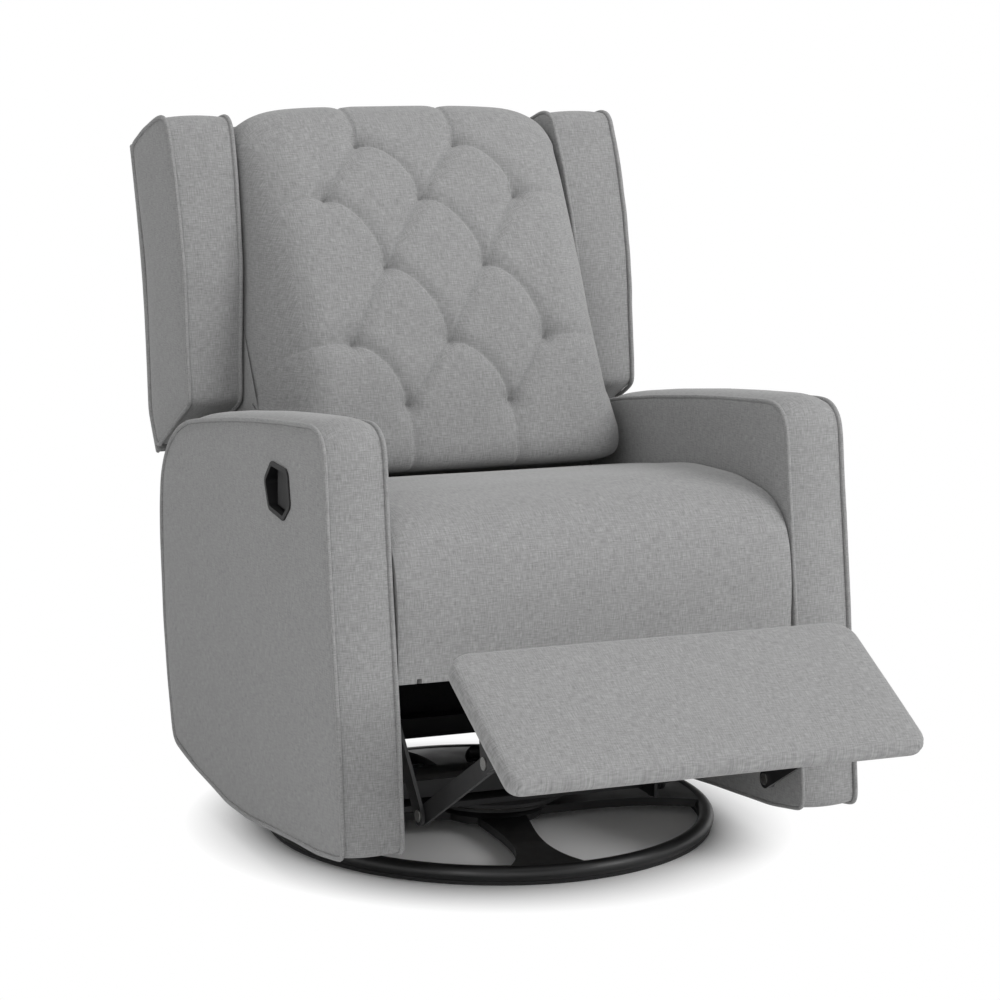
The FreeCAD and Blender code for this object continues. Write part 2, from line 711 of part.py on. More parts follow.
def elbow_pins():
    x0 = SWING_X - FACE_GAP - PLATE
    return both_sides(rivet(ELBOW_PIVOT, x0, SWING_X + PLATE + 0.3, head=1.5))


def ankle_pins():
    x0 = SWING_X - FACE_GAP - PLATE
    return both_sides(rivet(PAD_PIVOT, x0, SWING_X + PLATE + 0.3, head=1.5))


def pad_placement():
    """From the pad's own axes, X across and Z out of its face, to its place on the chair."""
    return FreeCAD.Placement(V(0, PAD_CENTRE[0], PAD_CENTRE[1]), FreeCAD.Rotation(V(1, 0, 0), PAD_TILT))


def to_pad(place):
    """A place in the side plane in the pad's own axes."""
    point = pad_placement().inverse().multVec(side_point(0, place))
    return (point.y, point.z)


def pad_plan(inset, z0, z1):
    """The footrest's rounded outline moved inwards, with larger corners at the top edge."""
    w, h = SEAT_HALF - inset, PAD_LENGTH / 2 - inset
    top_radius, low_radius = PAD_TOP_CORNER - inset, PAD_LOW_CORNER - inset
    d = 1 - math.sqrt(0.5)
    corners = [(w, -h, low_radius), (w, h, top_radius), (-w, h, top_radius), (-w, -h, low_radius)]
    edges = []
    ends = []
    for cx, cy, r in corners:
        sx = 1 if cx > 0 else -1
        sy = 1 if cy > 0 else -1
        on_side = V(cx, cy - sy * r, z0)
        on_end = V(cx - sx * r, cy, z0)
        middle = V(cx - sx * r * d, cy - sy * r * d, z0)
        first, last = (on_end, on_side) if sx * sy < 0 else (on_side, on_end)
        edges.append(Part.Arc(first, middle, last).toShape())
        ends.append((first, last))
    for k in range(4):
        edges.append(Part.makeLine(ends[k][1], ends[(k + 1) % 4][0]))
    face = Part.Face(Part.Wire(Part.__sortEdges__(edges)))
    return face.extrude(V(0, 0, z1 - z0))


def footrest_pad():
    """The padded face of the footrest, with its cover drawn round the board."""
    padding = pad_plan(0, -PAD_THICKNESS, 0)
    padding = rounded(padding, PAD_EDGE, lambda edge: edge.BoundBox.ZLength < 0.01 and edge.BoundBox.ZMin > -0.01)
    padding = padding.cut(pad_plan(PAD_BOARD_INSET, -PAD_THICKNESS - 1, -PAD_THICKNESS + PAD_BOARD))
    padding.Placement = pad_placement()
    return [padding]


def footrest_board():
    board = pad_plan(PAD_BOARD_INSET, -PAD_THICKNESS, -PAD_THICKNESS + PAD_BOARD)
    board.Placement = pad_placement()
    return [board]


def pad_brackets():
    """The steel angles on the board's back that hold the footrest's lower pivots."""
    y, z = to_pad(PAD_PIVOT)
    back = -PAD_THICKNESS
    ear = LINK_HALF_WIDTH + 1
    x0, x1 = SWING_X, SWING_X + PLATE
    web = side_prism(
        x0, x1, (y - ear, z),
        ("arc", (y, z - ear), (y + ear, z)),
        ("line", (y + 60, back)),
        ("line", (y - 60, back)))
    web = web.cut(cross_rod((y, z), PIN_HOLE, x0 - 1, x1 + 1))
    flange = block(x0 - 22, x1, y - 60, y + 60, back - 3, back)
    bracket = web.fuse(flange).removeSplitter()
    bracket.Placement = pad_placement()
    return both_sides(bracket)


# Back

def on_frame(z, depth=0.0):
    """The place on the back frame's front line at a height, moved back by a depth."""
    y = FRAME_FOOT_Y + (z - FRAME_FOOT_Z) * math.tan(FRAME_LEAN)
    return (y + depth, z)


def back_frame():
    """Two side rails, two cross rails and a head rail."""
    x1 = WING_BOARD_X
    x0 = x1 - 27
    low, high = FRAME_FOOT_Z, 965.0
    side = side_polygon(x0, x1, [on_frame(low), on_frame(high), on_frame(high, FRAME_DEPTH), on_frame(low, FRAME_DEPTH)])
    boards = both_sides(side)
    for z0, z1 in ((low, low + 60), (600, 650), (high - 60, high)):
        boards.append(side_polygon(-x0, x0, [
            on_frame(z0), on_frame(z1), on_frame(z1, FRAME_DEPTH), on_frame(z0, FRAME_DEPTH)]))
    return boards


def back_brackets():
    """The steel straps from the back hinge up the outside of the frame."""
    x0 = WING_BOARD_X
    x1 = SEAT_PLATE_X - FACE_GAP
    bend = (300.0, 412.0)
    top = on_frame(495, FRAME_DEPTH / 2)
    foot = link_bar([BACK_HINGE, bend], 14, x0, x1, (PIN_HOLE, 0))
    strap = link_bar([bend, top], 14, x0, x1, (0, 0))
    return both_sides(foot.fuse(strap).removeSplitter())


def back_pins():
    pin = cross_rod(BACK_HINGE, PIN_RADIUS, WING_BOARD_X - 3, SEAT_PLATE_X + THIN_PLATE + 3)
    heads = [cross_rod(BACK_HINGE, PIN_RADIUS * 1.7, SEAT_PLATE_X + THIN_PLATE, SEAT_PLATE_X + THIN_PLATE + 3),
             cross_rod(BACK_HINGE, PIN_RADIUS * 1.7, WING_BOARD_X - 3, WING_BOARD_X - 0.3)]
    return both_sides(pin.fuse(heads).removeSplitter())


def wing_board():
    """The plywood board that joins a wing to the back frame."""
    low, high = 525.0, 950.0
    return side_polygon(WING_BOARD_X, WING_BOARD_X + WING_BOARD, [
        on_frame(low), on_frame(high), on_frame(high, 60), on_frame(740, 82), on_frame(low, 82)])


WING_HIGH_Z = 1000.0
WING_HIGH_X = WING_BOARD_X + 1
WING_TAPER = 0.05


def wing_inner_x(z):
    """How far out a wing's inner face stands at a height: the wing is thicker at its top."""
    return WING_HIGH_X + (WING_HIGH_Z - z) * WING_TAPER


WING_FRONT = [(267, 593), (281, 687), (292, 789), (340, 938), (375, 1000)]
WING_REAR = [(550, 956), (494, 792), (466, 616), (459, 554), (424, 503)]


def wing_prism(x0, x1):
    return side_prism(
        x0, x1, WING_FRONT[0],
        ("curve", WING_FRONT[1:]),
        ("arc", (384, 1009), (396, 1011)),
        ("line", (420, 1009)),
        ("curve", [(485, 985), WING_REAR[0]]),
        ("arc", WING_REAR[1], WING_REAR[2]),
        ("line", WING_REAR[3]),
        ("line", WING_REAR[4]))


def wing():
    """A padded wing, thicker at the top, with a seat for its board and clear of the cushion."""
    low, high, reach = FRAME_FOOT_Z, WING_HIGH_Z + 100, 400
    solid = wing_prism(wing_inner_x(high), WING_OUTER)
    wedge_points = [V(0, 0, low), V(wing_inner_x(low), 0, low), V(wing_inner_x(high), 0, high), V(0, 0, high)]
    wedge = Part.Face(Part.makePolygon(wedge_points + [wedge_points[0]])).extrude(V(0, 2 * reach, 0))
    in_front = [on_frame(low, -reach), on_frame(high, -reach), on_frame(high), on_frame(low)]
    solid = solid.cut(wedge.common(side_polygon(-1, WING_OUTER + 1, in_front)))
    behind = side_polygon(0, WING_BOARD_X + WING_BOARD, [
        on_frame(low), on_frame(high), on_frame(high, reach), on_frame(low, reach)])
    solid = solid.cut(behind)
    return rounded(solid, 7, lambda edge: edge.BoundBox.XLength < 0.01 and edge.BoundBox.XMin > WING_OUTER - 0.01)


REAR_LINE = [(558, 956), (502, 792), (474, 616), (467, 554), (430, 497)]


def rear_cover():
    """The stretched cover behind the back, over the wings' rear edges."""
    outer = REAR_LINE
    inner = [(y - REAR_COVER, z) for y, z in outer]
    return [side_prism(
        -WING_OUTER, WING_OUTER, outer[0],
        ("arc", outer[1], outer[2]), ("line", outer[3]), ("line", outer[4]), ("line", inner[4]), ("line", inner[3]),
        ("line", inner[2]), ("arc", inner[1], inner[0]))]


def top_cover():
    """The strip between the wings that closes the back above its frame."""
    half = WING_BOARD_X - FACE_GAP
    rear_y = REAR_LINE[0][0] - REAR_COVER - 1.2
    return [side_polygon(-half, half, [
        (470, 984), (470, 990), (505, 984), (rear_y, 962), (rear_y, 954), (503, 976)])]


def lower_rear_cover():
    """The lower part of the rear cover, between the arms."""
    half = SIDE_PLATE_X - 3
    return [side_polygon(-half, half, [(422, 497), (430, 497), (318, 318), (310, 318)])]


FACE_LINE = [(466, 975), (450, 1008), (403, 1026), (350, 1006), (292, 950), (222, 855), (160, 756), (112, 657),
             (84, 585), (69, 545), (76, 514), (104, 504), (140, 495), (176, 487), (215, 474), (250, 448), (281, 426)]
CUSHION_GAP = 2.5
TUFT_ROWS = [(183, 2), (276, 3), (399, 2), (516, 3), (619, 2)]
TUFT_SPACING = 161.0
TUFT_DEPTH = 25.0
TUFT_SPREAD = 26.0
PLEAT_DEPTH = 8.0
PLEAT_SPREAD = 15.0
SIDE_ROUNDING = 46.0
STRAIGHT_BACK_FROM = 570.0
STRAIGHT_BACK_BLEND = 70.0


def cushion_half(z):
    """Half the cushion's width at a height, where it lies between the wings."""
    return wing_inner_x(z) - CUSHION_GAP


def tuft_rows():
    """The tufts, row by row, as places across and along the face line."""
    return [[((k - (count - 1) / 2) * TUFT_SPACING, along) for k in range(count)] for along, count in TUFT_ROWS]


def pleats(length):
    """The pleats as pairs of places: from tuft to tuft, over the top, and down to the seat."""
    rows = tuft_rows()
    lines = []
    for upper, lower in zip(rows[:-1], rows[1:]):
        lines += [(a, b) for a in upper for b in lower if abs(a[0] - b[0]) < TUFT_SPACING]
    lines += [(a, (a[0], 0.0)) for a in rows[0]]
    lines += [(a, (a[0], length)) for a in rows[-1]]
    return lines


def gap_to(place, line):
    """The distance from a place to a straight run between two places."""
    (ax, ay), (bx, by) = line
    dx, dy = bx - ax, by - ay
    share = ((place[0] - ax) * dx + (place[1] - ay) * dy) / (dx * dx + dy * dy)
    share = min(1.0, max(0.0, share))
    return math.dist(place, (ax + share * dx, ay + share * dy))


def cushion_depth(place, across, length):
    """How far the cover is drawn in at a place: at tufts, along pleats and towards the sides."""
    tuft_gap = min(math.dist(place, tuft) for row in tuft_rows() for tuft in row)
    pleat_gap = min(gap_to(place, line) for line in pleats(length))
    tuft = (TUFT_DEPTH - PLEAT_DEPTH) * math.exp(-(tuft_gap / TUFT_SPREAD) ** 2)
    pleat = PLEAT_DEPTH * math.exp(-(pleat_gap / PLEAT_SPREAD) ** 2)
    return tuft + pleat + SIDE_ROUNDING * across ** 6


def inward_at(tangent, along):
    """The way into the cushion: square to the face line, and straight back under the lowest tufts."""
    square = V(0, -tangent.z, tangent.y)
    share = min(1.0, max(0.0, (along - STRAIGHT_BACK_FROM) / STRAIGHT_BACK_BLEND))
    return (square * (1 - share) + V(0, 1, 0) * share).normalize()


def back_cushion():
    """The tufted back cushion: one smooth surface over its top, face and bottom, closed behind.

    The surface is made as wide as the cushion's foot, and then cut to the wings' taper.
    """
    foot, crown = FACE_LINE[-1][1], FACE_LINE[2][1] + 1
    widest = cushion_half(foot)
    line = Part.BSplineCurve()
    line.interpolate([side_point(0, place) for place in FACE_LINE])
    length = line.length()
    rows, columns = 73, 45
    grid = []
    for i in range(rows):
        along = length * i / (rows - 1)
        parameter = line.parameterAtDistance(along) if i else line.FirstParameter
        middle = line.value(parameter)
        tangent = line.tangent(parameter)[0]
        inward = inward_at(tangent, along)
        fade = min(1.0, 6 * min(i, rows - 1 - i) / rows)
        row = []
        for j in range(columns):
            x = widest * (2 * j / (columns - 1) - 1)
            across = min(1.0, abs(x) / cushion_half(middle.z))
            point = middle + inward * fade * cushion_depth((x, along), across, length)
            row.append(V(x, point.y, point.z))
        grid.append(row)
    surface = Part.BSplineSurface()
    surface.interpolate(grid)
    skin = surface.toShape()
    faces = [skin]
    for edge in skin.Edges:
        if edge.BoundBox.XLength < 1:
            closing = Part.makeLine(edge.Vertexes[0].Point, edge.Vertexes[-1].Point)
            faces.append(Part.Face(Part.Wire(Part.__sortEdges__([edge, closing]))))
    first, last = side_point(0, FACE_LINE[0]), side_point(0, FACE_LINE[-1])
    out = V(widest, 0, 0)
    faces.append(Part.Face(Part.makePolygon([first - out, first + out, last + out, last - out, first - out])))
    shell = Part.makeShell(faces)
    shell.sewShape()
    solid = Part.makeSolid(shell)
    if solid.Volume < 0:
        solid.reverse()
    corners = [V(-widest, 0, foot), V(widest, 0, foot), V(cushion_half(crown), 0, crown), V(-cushion_half(crown), 0, crown)]
    between_wings = Part.Face(Part.makePolygon(corners + [corners[0]])).extrude(V(0, WING_REAR[0][0], 0))
    return [solid.common(between_wings)]


def main():
    os.makedirs("parts", exist_ok=True)
    export("base_ring", base_ring())
    export("floor_strip", floor_strip())
    export("base_cross", base_cross())
    export("lower_swivel_plate", lower_swivel_plate())
    export("thrust_bearing", thrust_bearing())
    export("king_bolt", king_bolt())
    export("king_nut", king_nut())
    export("turntable_plate", turntable_plate())
    export("glide_cross_bars", glide_cross_bars())
    export_body("glide_brackets", both_sides(glide_bracket()))
    export_body("glide_top_pins", glide_top_pins())
    export_body("front_glide_links", glide_links(-GLIDE_PIVOT_Y))
    export_body("rear_glide_links", glide_links(GLIDE_PIVOT_Y))
    export_body("chassis_rails", chassis_rails())
    export_body("glide_low_pins", glide_low_pins())
    export_body("cross_rails", cross_rails())
    export_body("side_plates", both_sides(bolted_side_plate()))
    export_body("seat_tracks", both_sides(seat_track()))
    export_body("arm_right", [arm_upholstery()])
    export_body("arm_left", [arm_with_cup()])
    export_body("arm_frame_right", arm_frame())
    export_body("arm_frame_left", [mirrored(board) for board in arm_frame()])
    export_body("arm_lining_right", [arm_lining()])
    export_body("arm_lining_left", [mirrored(arm_lining())])
    export_body("arm_bolts", both_sides(*arm_bolts()))
    export_body("rear_valance", rear_valance())
    export_body("release_cup", release_cup())
    export_body("release_pin", release_pin())
    export_body("release_lever", release_lever())
    export_body("seat_plates", both_sides(seat_plate()))
    export_body("seat_runners", both_sides(seat_runner()))
    export_body("seat_frame", seat_frame())
    export_body("seat_springs", seat_springs())
    export_body("seat_cushion", seat_cushion())
    export_body("swing_pins", swing_pins())
    export_body("back_pins", back_pins())
    export_body("drive_tube", drive_tube())
    export_body("swing_links", swing_links())
    export_body("shin_links", shin_links())
    export_body("elbow_pins", elbow_pins())
    export_body("ankle_pins", ankle_pins())
    export_body("pad_brackets", pad_brackets())
    export_body("footrest_board", footrest_board())
    export_body("footrest_pad", footrest_pad())
    export_body("back_frame", back_frame())
    export_body("back_brackets", back_brackets())
    export_body("wing_board_right", [wing_board()])
    export_body("wing_board_left", [mirrored(wing_board())])
    export_body("wing_right", [wing()])
    export_body("wing_left", [mirrored(wing())])
    export_body("rear_cover", rear_cover())
    export_body("top_cover", top_cover())
    export_body("lower_rear_cover", lower_rear_cover())
    export_body("back_cushion", back_cushion())


main()
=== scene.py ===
"""Swivel glider recliner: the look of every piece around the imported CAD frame."""

import json
import math

import bpy
import numpy as np
from mathutils import Matrix, Vector


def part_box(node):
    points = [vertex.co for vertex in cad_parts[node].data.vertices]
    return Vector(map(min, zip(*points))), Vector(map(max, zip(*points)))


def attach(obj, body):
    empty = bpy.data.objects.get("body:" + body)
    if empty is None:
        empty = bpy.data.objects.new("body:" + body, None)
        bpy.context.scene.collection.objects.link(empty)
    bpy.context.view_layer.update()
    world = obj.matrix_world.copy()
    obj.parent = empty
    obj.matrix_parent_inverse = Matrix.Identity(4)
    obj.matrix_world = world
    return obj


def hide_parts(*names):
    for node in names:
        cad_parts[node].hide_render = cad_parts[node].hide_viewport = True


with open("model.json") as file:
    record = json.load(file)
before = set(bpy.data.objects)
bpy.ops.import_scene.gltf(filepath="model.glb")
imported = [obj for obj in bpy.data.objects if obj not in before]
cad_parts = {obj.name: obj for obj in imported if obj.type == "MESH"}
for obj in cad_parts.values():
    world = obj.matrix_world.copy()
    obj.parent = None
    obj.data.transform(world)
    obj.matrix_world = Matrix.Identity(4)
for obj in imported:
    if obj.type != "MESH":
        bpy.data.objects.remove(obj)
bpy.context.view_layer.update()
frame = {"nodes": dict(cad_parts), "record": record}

bl_info = {
    "name": "Swivel glider recliner",
    "version": (1, 0, 0),
    "blender": (4, 5, 0),
    "location": "3D View > Sidebar > Recliner",
    "description": "Upholstery, piping, finishes and studio for the recliner",
    "category": "Object",
}

MM = 0.001

# Side outlines of the upholstery, in millimetres: front to back, then up
ARM_FRONT = [(-440, 95), (-430, 170), (-417, 257), (-402, 360), (-385, 456), (-371, 545), (-361, 612)]
ARM_TOP = [(-356, 632), (-343, 645), (-322, 652), (-300, 651), (-200, 640), (-95, 627), (61, 604), (160, 587),
           (215, 576), (260, 560), (296, 538), (325, 508)]
ARM_BACK = [(341, 475), (344, 430), (342, 370), (333, 261), (312, 165), (288, 92), (279, 77)]
ARM_BOTTOM = [(177, 60), (34, 47), (-60, 49), (-166, 61), (-351, 79)]
WING_FRONT = [(268, 595), (274, 640), (281, 687), (286, 735), (293, 790), (313, 862), (341, 939), (362, 982)]
WING_TOP = [(371, 1000), (384, 1009), (400, 1011), (420, 1008), (485, 987), (545, 960)]
WING_BACK = [(548, 950), (520, 868), (493, 785), (476, 700), (466, 616), (459, 554), (426, 505)]
SEAT_TOP = [(-400, 314), (-405, 340), (-408, 389), (-404, 435), (-395, 470), (-382, 495), (-363, 513),
            (-340, 526), (-311, 535), (-235, 543), (-110, 536), (40, 510), (160, 484), (183, 474), (192, 452)]
SEAT_UNDER = [(190, 396), (-366, 396), (-369, 380), (-370, 314), (-380, 309)]
BACK_FACE = [(466, 975), (458, 996), (436, 1017), (403, 1026), (374, 1020), (350, 1006), (322, 982),
             (292, 950), (256, 904), (222, 855), (190, 806), (160, 756), (134, 706), (110, 657), (92, 612),
             (79, 575), (69, 545), (68, 525), (78, 512), (104, 504), (140, 495), (176, 487), (215, 474),
             (250, 448), (281, 428)]
REAR_LINE = [(558, 956), (541, 908), (524, 857), (509, 806), (496, 755), (487, 710), (480, 662), (474, 616),
             (467, 554), (430, 497)]

TOP_COVER = [(470, 984), (470, 990), (505, 984), (548.8, 962), (548.8, 954), (503, 976)]
LOWER_REAR_COVER = [(422, 497), (430, 497), (318, 318), (310, 318)]
TOP_COVER_HALF = 0.262
LOWER_REAR_HALF = 0.287

# Where a swing link lies under the seat's front with the footrest up, the cover is open from front to
# back and up to a height. The opening reaches past the link's face on both sides of it.
LINK_ROOM_FRONT = -0.420
LINK_ROOM_BACK = -0.360
LINK_ROOM_LOW = 0.290
LINK_ROOM_TOP = 0.3204
LINK_ROOM_INWARD = 0.0062
LINK_ROOM_OUTWARD = 0.0012

# The release cup's outline on the arm, how far the hole lies in under its rim, and the pocket's depth
CUP_OUTLINE = [(-227, 580), (-160, 582), (-131, 552), (-151, 512), (-211, 506), (-239, 530)]
CUP_HOLE_INSET = 0.0025
CUP_POCKET = 0.0355
CUP_CUTTER_REACH = 0.02

# Edges left sharp where a hole is cut into a cover
SHARP_ANGLE = math.radians(50)

# The footrest pad in its own plane, and the angle it stands at in the photo
PAD_CENTRE = (-671.0, 342.0)
PAD_TILT = math.radians(27.5)
PAD_LENGTH = 250.0
PAD_THICKNESS = 34.0
PAD_TOP_CORNER = 34.0
PAD_LOW_CORNER = 20.0
PAD_CROWN = 0.006
PAD_CORNER = 0.010
PAD_SIDE_GAP = 0.0025

# How unevenly the covers lie, and the rounding of a cover's sewn corners
ARM_UNEVEN = 0.0008
ARM_CORNER = 0.005
ARM_TOP_CROWN = 0.009
ARM_FRONT_CROWN = 0.003
WING_UNEVEN = 0.0010
WING_CORNER = 0.006
BACK_UNEVEN = 0.0012
SEAT_UNEVEN = 0.0016
PAD_UNEVEN = 0.0007

# Covers lie this far inside the outer faces of the arms and wings, whose piping stands proud
FACE_INSET = 0.002

# The body stands this far behind the swivel axis, and the outlines above are drawn about the body
SETBACK = 0.032

# The back frame's front line, the wings' inner faces, and how far out those stand behind the frame's front
FRAME_FOOT = (0.250, 0.330)
FRAME_LEAN = math.radians(18.57)
WING_INNER_TOP = (0.264, 1.000)
WING_INNER_TAPER = 0.05
WING_BEHIND_FRAME = 0.277

# The camera as fitted to the photo
CAMERA_PLACE = (-1.7962, -4.12207, 1.32767)
CAMERA_YAW = math.radians(23.564)
CAMERA_PITCH = math.radians(10.672)
CAMERA_ROLL = math.radians(0.904)
CAMERA_LENS = 113.05
CAMERA_SHIFT = 0.005

# The studio floor: a fan and a ring of faces, with the shadow fading to white between two radii
FLOOR_SIDES = 96
FLOOR_RADII = (1.2, 9.0)
FLOOR_DROP = 0.0005
SHADOW_FADE = (0.33, 0.45)
AMBIENT = 0.40

# Area lights: name, place, target, size and watts
LIGHTS = [
    ("key_light", (2.9, -3.2, 2.9), (0, 0, 0.5), 2.4, 125),
    ("top_light", (-0.2, 0.4, 4.2), (0, 0, 0.4), 3.0, 40),
    ("front_fill", (-2.4, -3.6, 1.6), (0, 0, 0.5), 2.6, 34),
]

# The cloth's threads: their pitch as drawn, the length of a slub along a thread, and of a tone patch
THREAD_PITCH = 0.0014
SLUB_LENGTH = 0.013
PATCH_LENGTH = 0.05
PATCH_SHARE = 0.16


def linear(code):
    """An sRGB hex colour as linear red, green, blue and alpha."""
    code = code.lstrip("#")
    channels = [int(code[k:k + 2], 16) / 255 for k in (0, 2, 4)]
    curve = [c / 12.92 if c <= 0.04045 else ((c + 0.055) / 1.055) ** 2.4 for c in channels]
    return (*curve, 1.0)


def hex_colour(name, text, code):
    return bpy.props.StringProperty(name=name, description=text, default=code)


class ReclinerSizes(bpy.types.PropertyGroup):
    seat_width: bpy.props.FloatProperty(
        name="Seat width", description="Between the arms", default=0.596, unit="LENGTH")
    arm_thickness: bpy.props.FloatProperty(
        name="Arm thickness", description="Across one arm", default=0.090, unit="LENGTH")
    wing_span: bpy.props.FloatProperty(
        name="Wing span", description="Over both wings", default=0.738, unit="LENGTH")
    piping_radius: bpy.props.FloatProperty(
        name="Piping radius", description="Of the cord in the seams", default=0.0032, unit="LENGTH")
    tuft_depth: bpy.props.FloatProperty(
        name="Tuft depth", description="How deep a tuft draws the back in", default=0.018, unit="LENGTH")
    pleat_depth: bpy.props.FloatProperty(
        name="Pleat depth", description="Of a pleat between two tufts", default=0.0078, unit="LENGTH")


class ReclinerColours(bpy.types.PropertyGroup):
    linen: hex_colour("Linen", "Grey linen cover", "#a3a3a3")
    linen_dark: hex_colour("Linen shade", "Darker threads of the cover", "#7c7c7c")
    enamel: hex_colour("Black enamel", "Painted steel", "#101011")
    floor: hex_colour("Floor", "Studio floor", "#f4f4f4")


def sizes():
    return bpy.context.scene.recliner_sizes


def colours():
    return bpy.context.scene.recliner_colours


# Surfaces from numpy grids

def resample(points, count, closed):
    """Evenly spaced points along a polyline, by length."""
    pts = np.asarray(points, float)
    if closed:
        pts = np.vstack([pts, pts[:1]])
    steps = np.linalg.norm(np.diff(pts, axis=0), axis=1)
    at = np.concatenate([[0], np.cumsum(steps)])
    where = np.linspace(0, at[-1], count, endpoint=not closed)
    return np.stack([np.interp(where, at, pts[:, k]) for k in range(pts.shape[1])], axis=1)


def smoothed(points, reach, closed):
    """The points averaged with a bell weight that reaches a number of points to each side."""
    if reach < 1:
        return points
    span = np.arange(-3 * reach, 3 * reach + 1)
    weight = np.exp(-0.5 * (span / reach) ** 2)
    weight /= weight.sum()
    pad = 3 * reach
    if closed:
        wide = np.concatenate([points[-pad:], points, points[:pad]])
    else:
        head = 2 * points[:1] - points[pad:0:-1]
        tail = 2 * points[-1:] - points[-2:-pad - 2:-1]
        wide = np.concatenate([head, points, tail])
    return np.stack([np.convolve(wide[:, k], weight, "valid") for k in range(points.shape[1])], axis=1)


def loop_outline(points, count, reach):
    """A closed outline, evenly divided and rounded, in metres, with its outward normals."""
    loop = smoothed(resample(points, count, True), reach, True) * MM
    ahead = np.roll(loop, -1, axis=0) - np.roll(loop, 1, axis=0)
    ahead /= np.linalg.norm(ahead, axis=1)[:, None]
    normal = np.stack([ahead[:, 1], -ahead[:, 0]], axis=1)
    area = np.sum(loop[:, 0] * np.roll(loop[:, 1], -1) - np.roll(loop[:, 0], -1) * loop[:, 1])
    return loop, normal if area > 0 else -normal


def wander(a, b, seed):
    """A slow, smooth unevenness between about -1 and 1: six crossed sine waves with seeded turns."""
    rng = np.random.default_rng(seed)
    total = np.zeros(np.broadcast(a, b).shape)
    for k in range(6):
        turn = rng.uniform(0, math.tau)
        pitch = rng.uniform(9, 34)
        total += np.sin((a * math.cos(turn) + b * math.sin(turn)) * pitch + rng.uniform(0, math.tau))
    return total / 6


def is_inside_out(verts, quads):
    """Whether a closed skin's faces look inwards, told by the sign of its volume."""
    a, b, c, d = (verts[quads[:, k]] for k in range(4))
    return np.sum(a * np.cross(b, c)) + np.sum(a * np.cross(c, d)) < 0


def linked_mesh(name, verts, faces, material, uv=None):
    """A smooth-shaded object in the scene, with the UV map of the cloth's threads."""
    mesh = bpy.data.meshes.new(name)
    mesh.from_pydata(verts.tolist(), [], faces)
    mesh.polygons.foreach_set("use_smooth", np.ones(len(faces), bool))
    mesh.materials.append(material)
    mesh.update()
    obj = bpy.data.objects.new(name, mesh)
    bpy.context.scene.collection.objects.link(obj)
    lay_threads(obj, uv)
    return obj


def mesh_from_rows(name, rows, material, uv=None):
    """A closed mesh from a grid whose rows are closed loops, with a pole at each end."""
    count, around = rows.shape[:2]
    poles = np.stack([rows[0].mean(axis=0), rows[-1].mean(axis=0)])
    verts = np.concatenate([rows.reshape(-1, 3), poles]) + np.array([0, SETBACK, 0])
    i, j = np.meshgrid(np.arange(count - 1), np.arange(around), indexing="ij")
    n = (j + 1) % around
    quads = np.stack([i * around + j, i * around + n, (i + 1) * around + n, (i + 1) * around + j], axis=-1)
    quads = quads.reshape(-1, 4)
    ring = np.arange(around)
    after = (ring + 1) % around
    first = np.stack([np.full(around, count * around), after, ring], axis=-1)
    last_row = (count - 1) * around
    last = np.stack([np.full(around, count * around + 1), last_row + ring, last_row + after], axis=-1)
    faces = [list(map(int, f)) for f in quads] + [list(map(int, f)) for f in np.concatenate([first, last])]
    if is_inside_out(verts, quads):
        faces = [f[::-1] for f in faces]
    return linked_mesh(name, verts, faces, material, uv)


def lay_threads(obj, uv):
    """The UV map in metres: given per vertex, or laid flat on each face by the way it mostly faces."""
    mesh = obj.data
    layer = mesh.uv_layers.new(name="threads")
    corner = np.empty(len(mesh.loops), np.int32)
    mesh.loops.foreach_get("vertex_index", corner)
    if uv is not None:
        flat = uv[corner]
    else:
        co = np.empty(len(mesh.vertices) * 3)
        mesh.vertices.foreach_get("co", co)
        co = co.reshape(-1, 3)
        normal = np.empty(len(mesh.polygons) * 3)
        mesh.polygons.foreach_get("normal", normal)
        normal = np.abs(normal.reshape(-1, 3))
        total = np.empty(len(mesh.polygons), np.int32)
        mesh.polygons.foreach_get("loop_total", total)
        facing = np.repeat(normal.argmax(axis=1), total)
        at = co[corner]
        across = np.where(facing == 0, at[:, 1], at[:, 0])
        up = np.where(facing == 2, at[:, 1], at[:, 2])
        flat = np.stack([across, up], axis=1)
    layer.data.foreach_set("uv", flat.astype(np.float32).ravel())


def tube_along(name, path, radius, material, closed):
    """A round cord: circles of one radius square to a smooth path, closed as a ring or with domed ends."""
    path = np.asarray(path)
    if closed:
        ahead = np.roll(path, -1, axis=0) - np.roll(path, 1, axis=0)
    else:
        ahead = np.gradient(path, axis=0)
    ahead /= np.linalg.norm(ahead, axis=1)[:, None]
    side = np.cross(ahead, np.array([1.0, 0.0, 0.0]))
    weak = np.linalg.norm(side, axis=1) < 0.2
    side[weak] = np.cross(ahead[weak], np.array([0.0, 0.0, 1.0]))
    side /= np.linalg.norm(side, axis=1)[:, None]
    other = np.cross(ahead, side)
    turn = np.linspace(0, math.tau, 10, endpoint=False)
    ring = np.cos(turn)[None, :, None] * side[:, None, :] + np.sin(turn)[None, :, None] * other[:, None, :]
    if closed:
        rows = path[:, None, :] + radius * ring
        return torus_mesh(name, rows, material)
    taper = np.array([0.35, 0.8])
    start = path[0] - ahead[0] * radius * np.array([[0.9], [0.55]])
    stop = path[-1] + ahead[-1] * radius * np.array([[0.55], [0.9]])
    head = start[:, None, :] + radius * taper[:, None, None] * ring[:1]
    tail = stop[:, None, :] + radius * taper[::-1, None, None] * ring[-1:]
    rows = np.concatenate([head, path[:, None, :] + radius * ring, tail])
    return mesh_from_rows(name, rows, material)


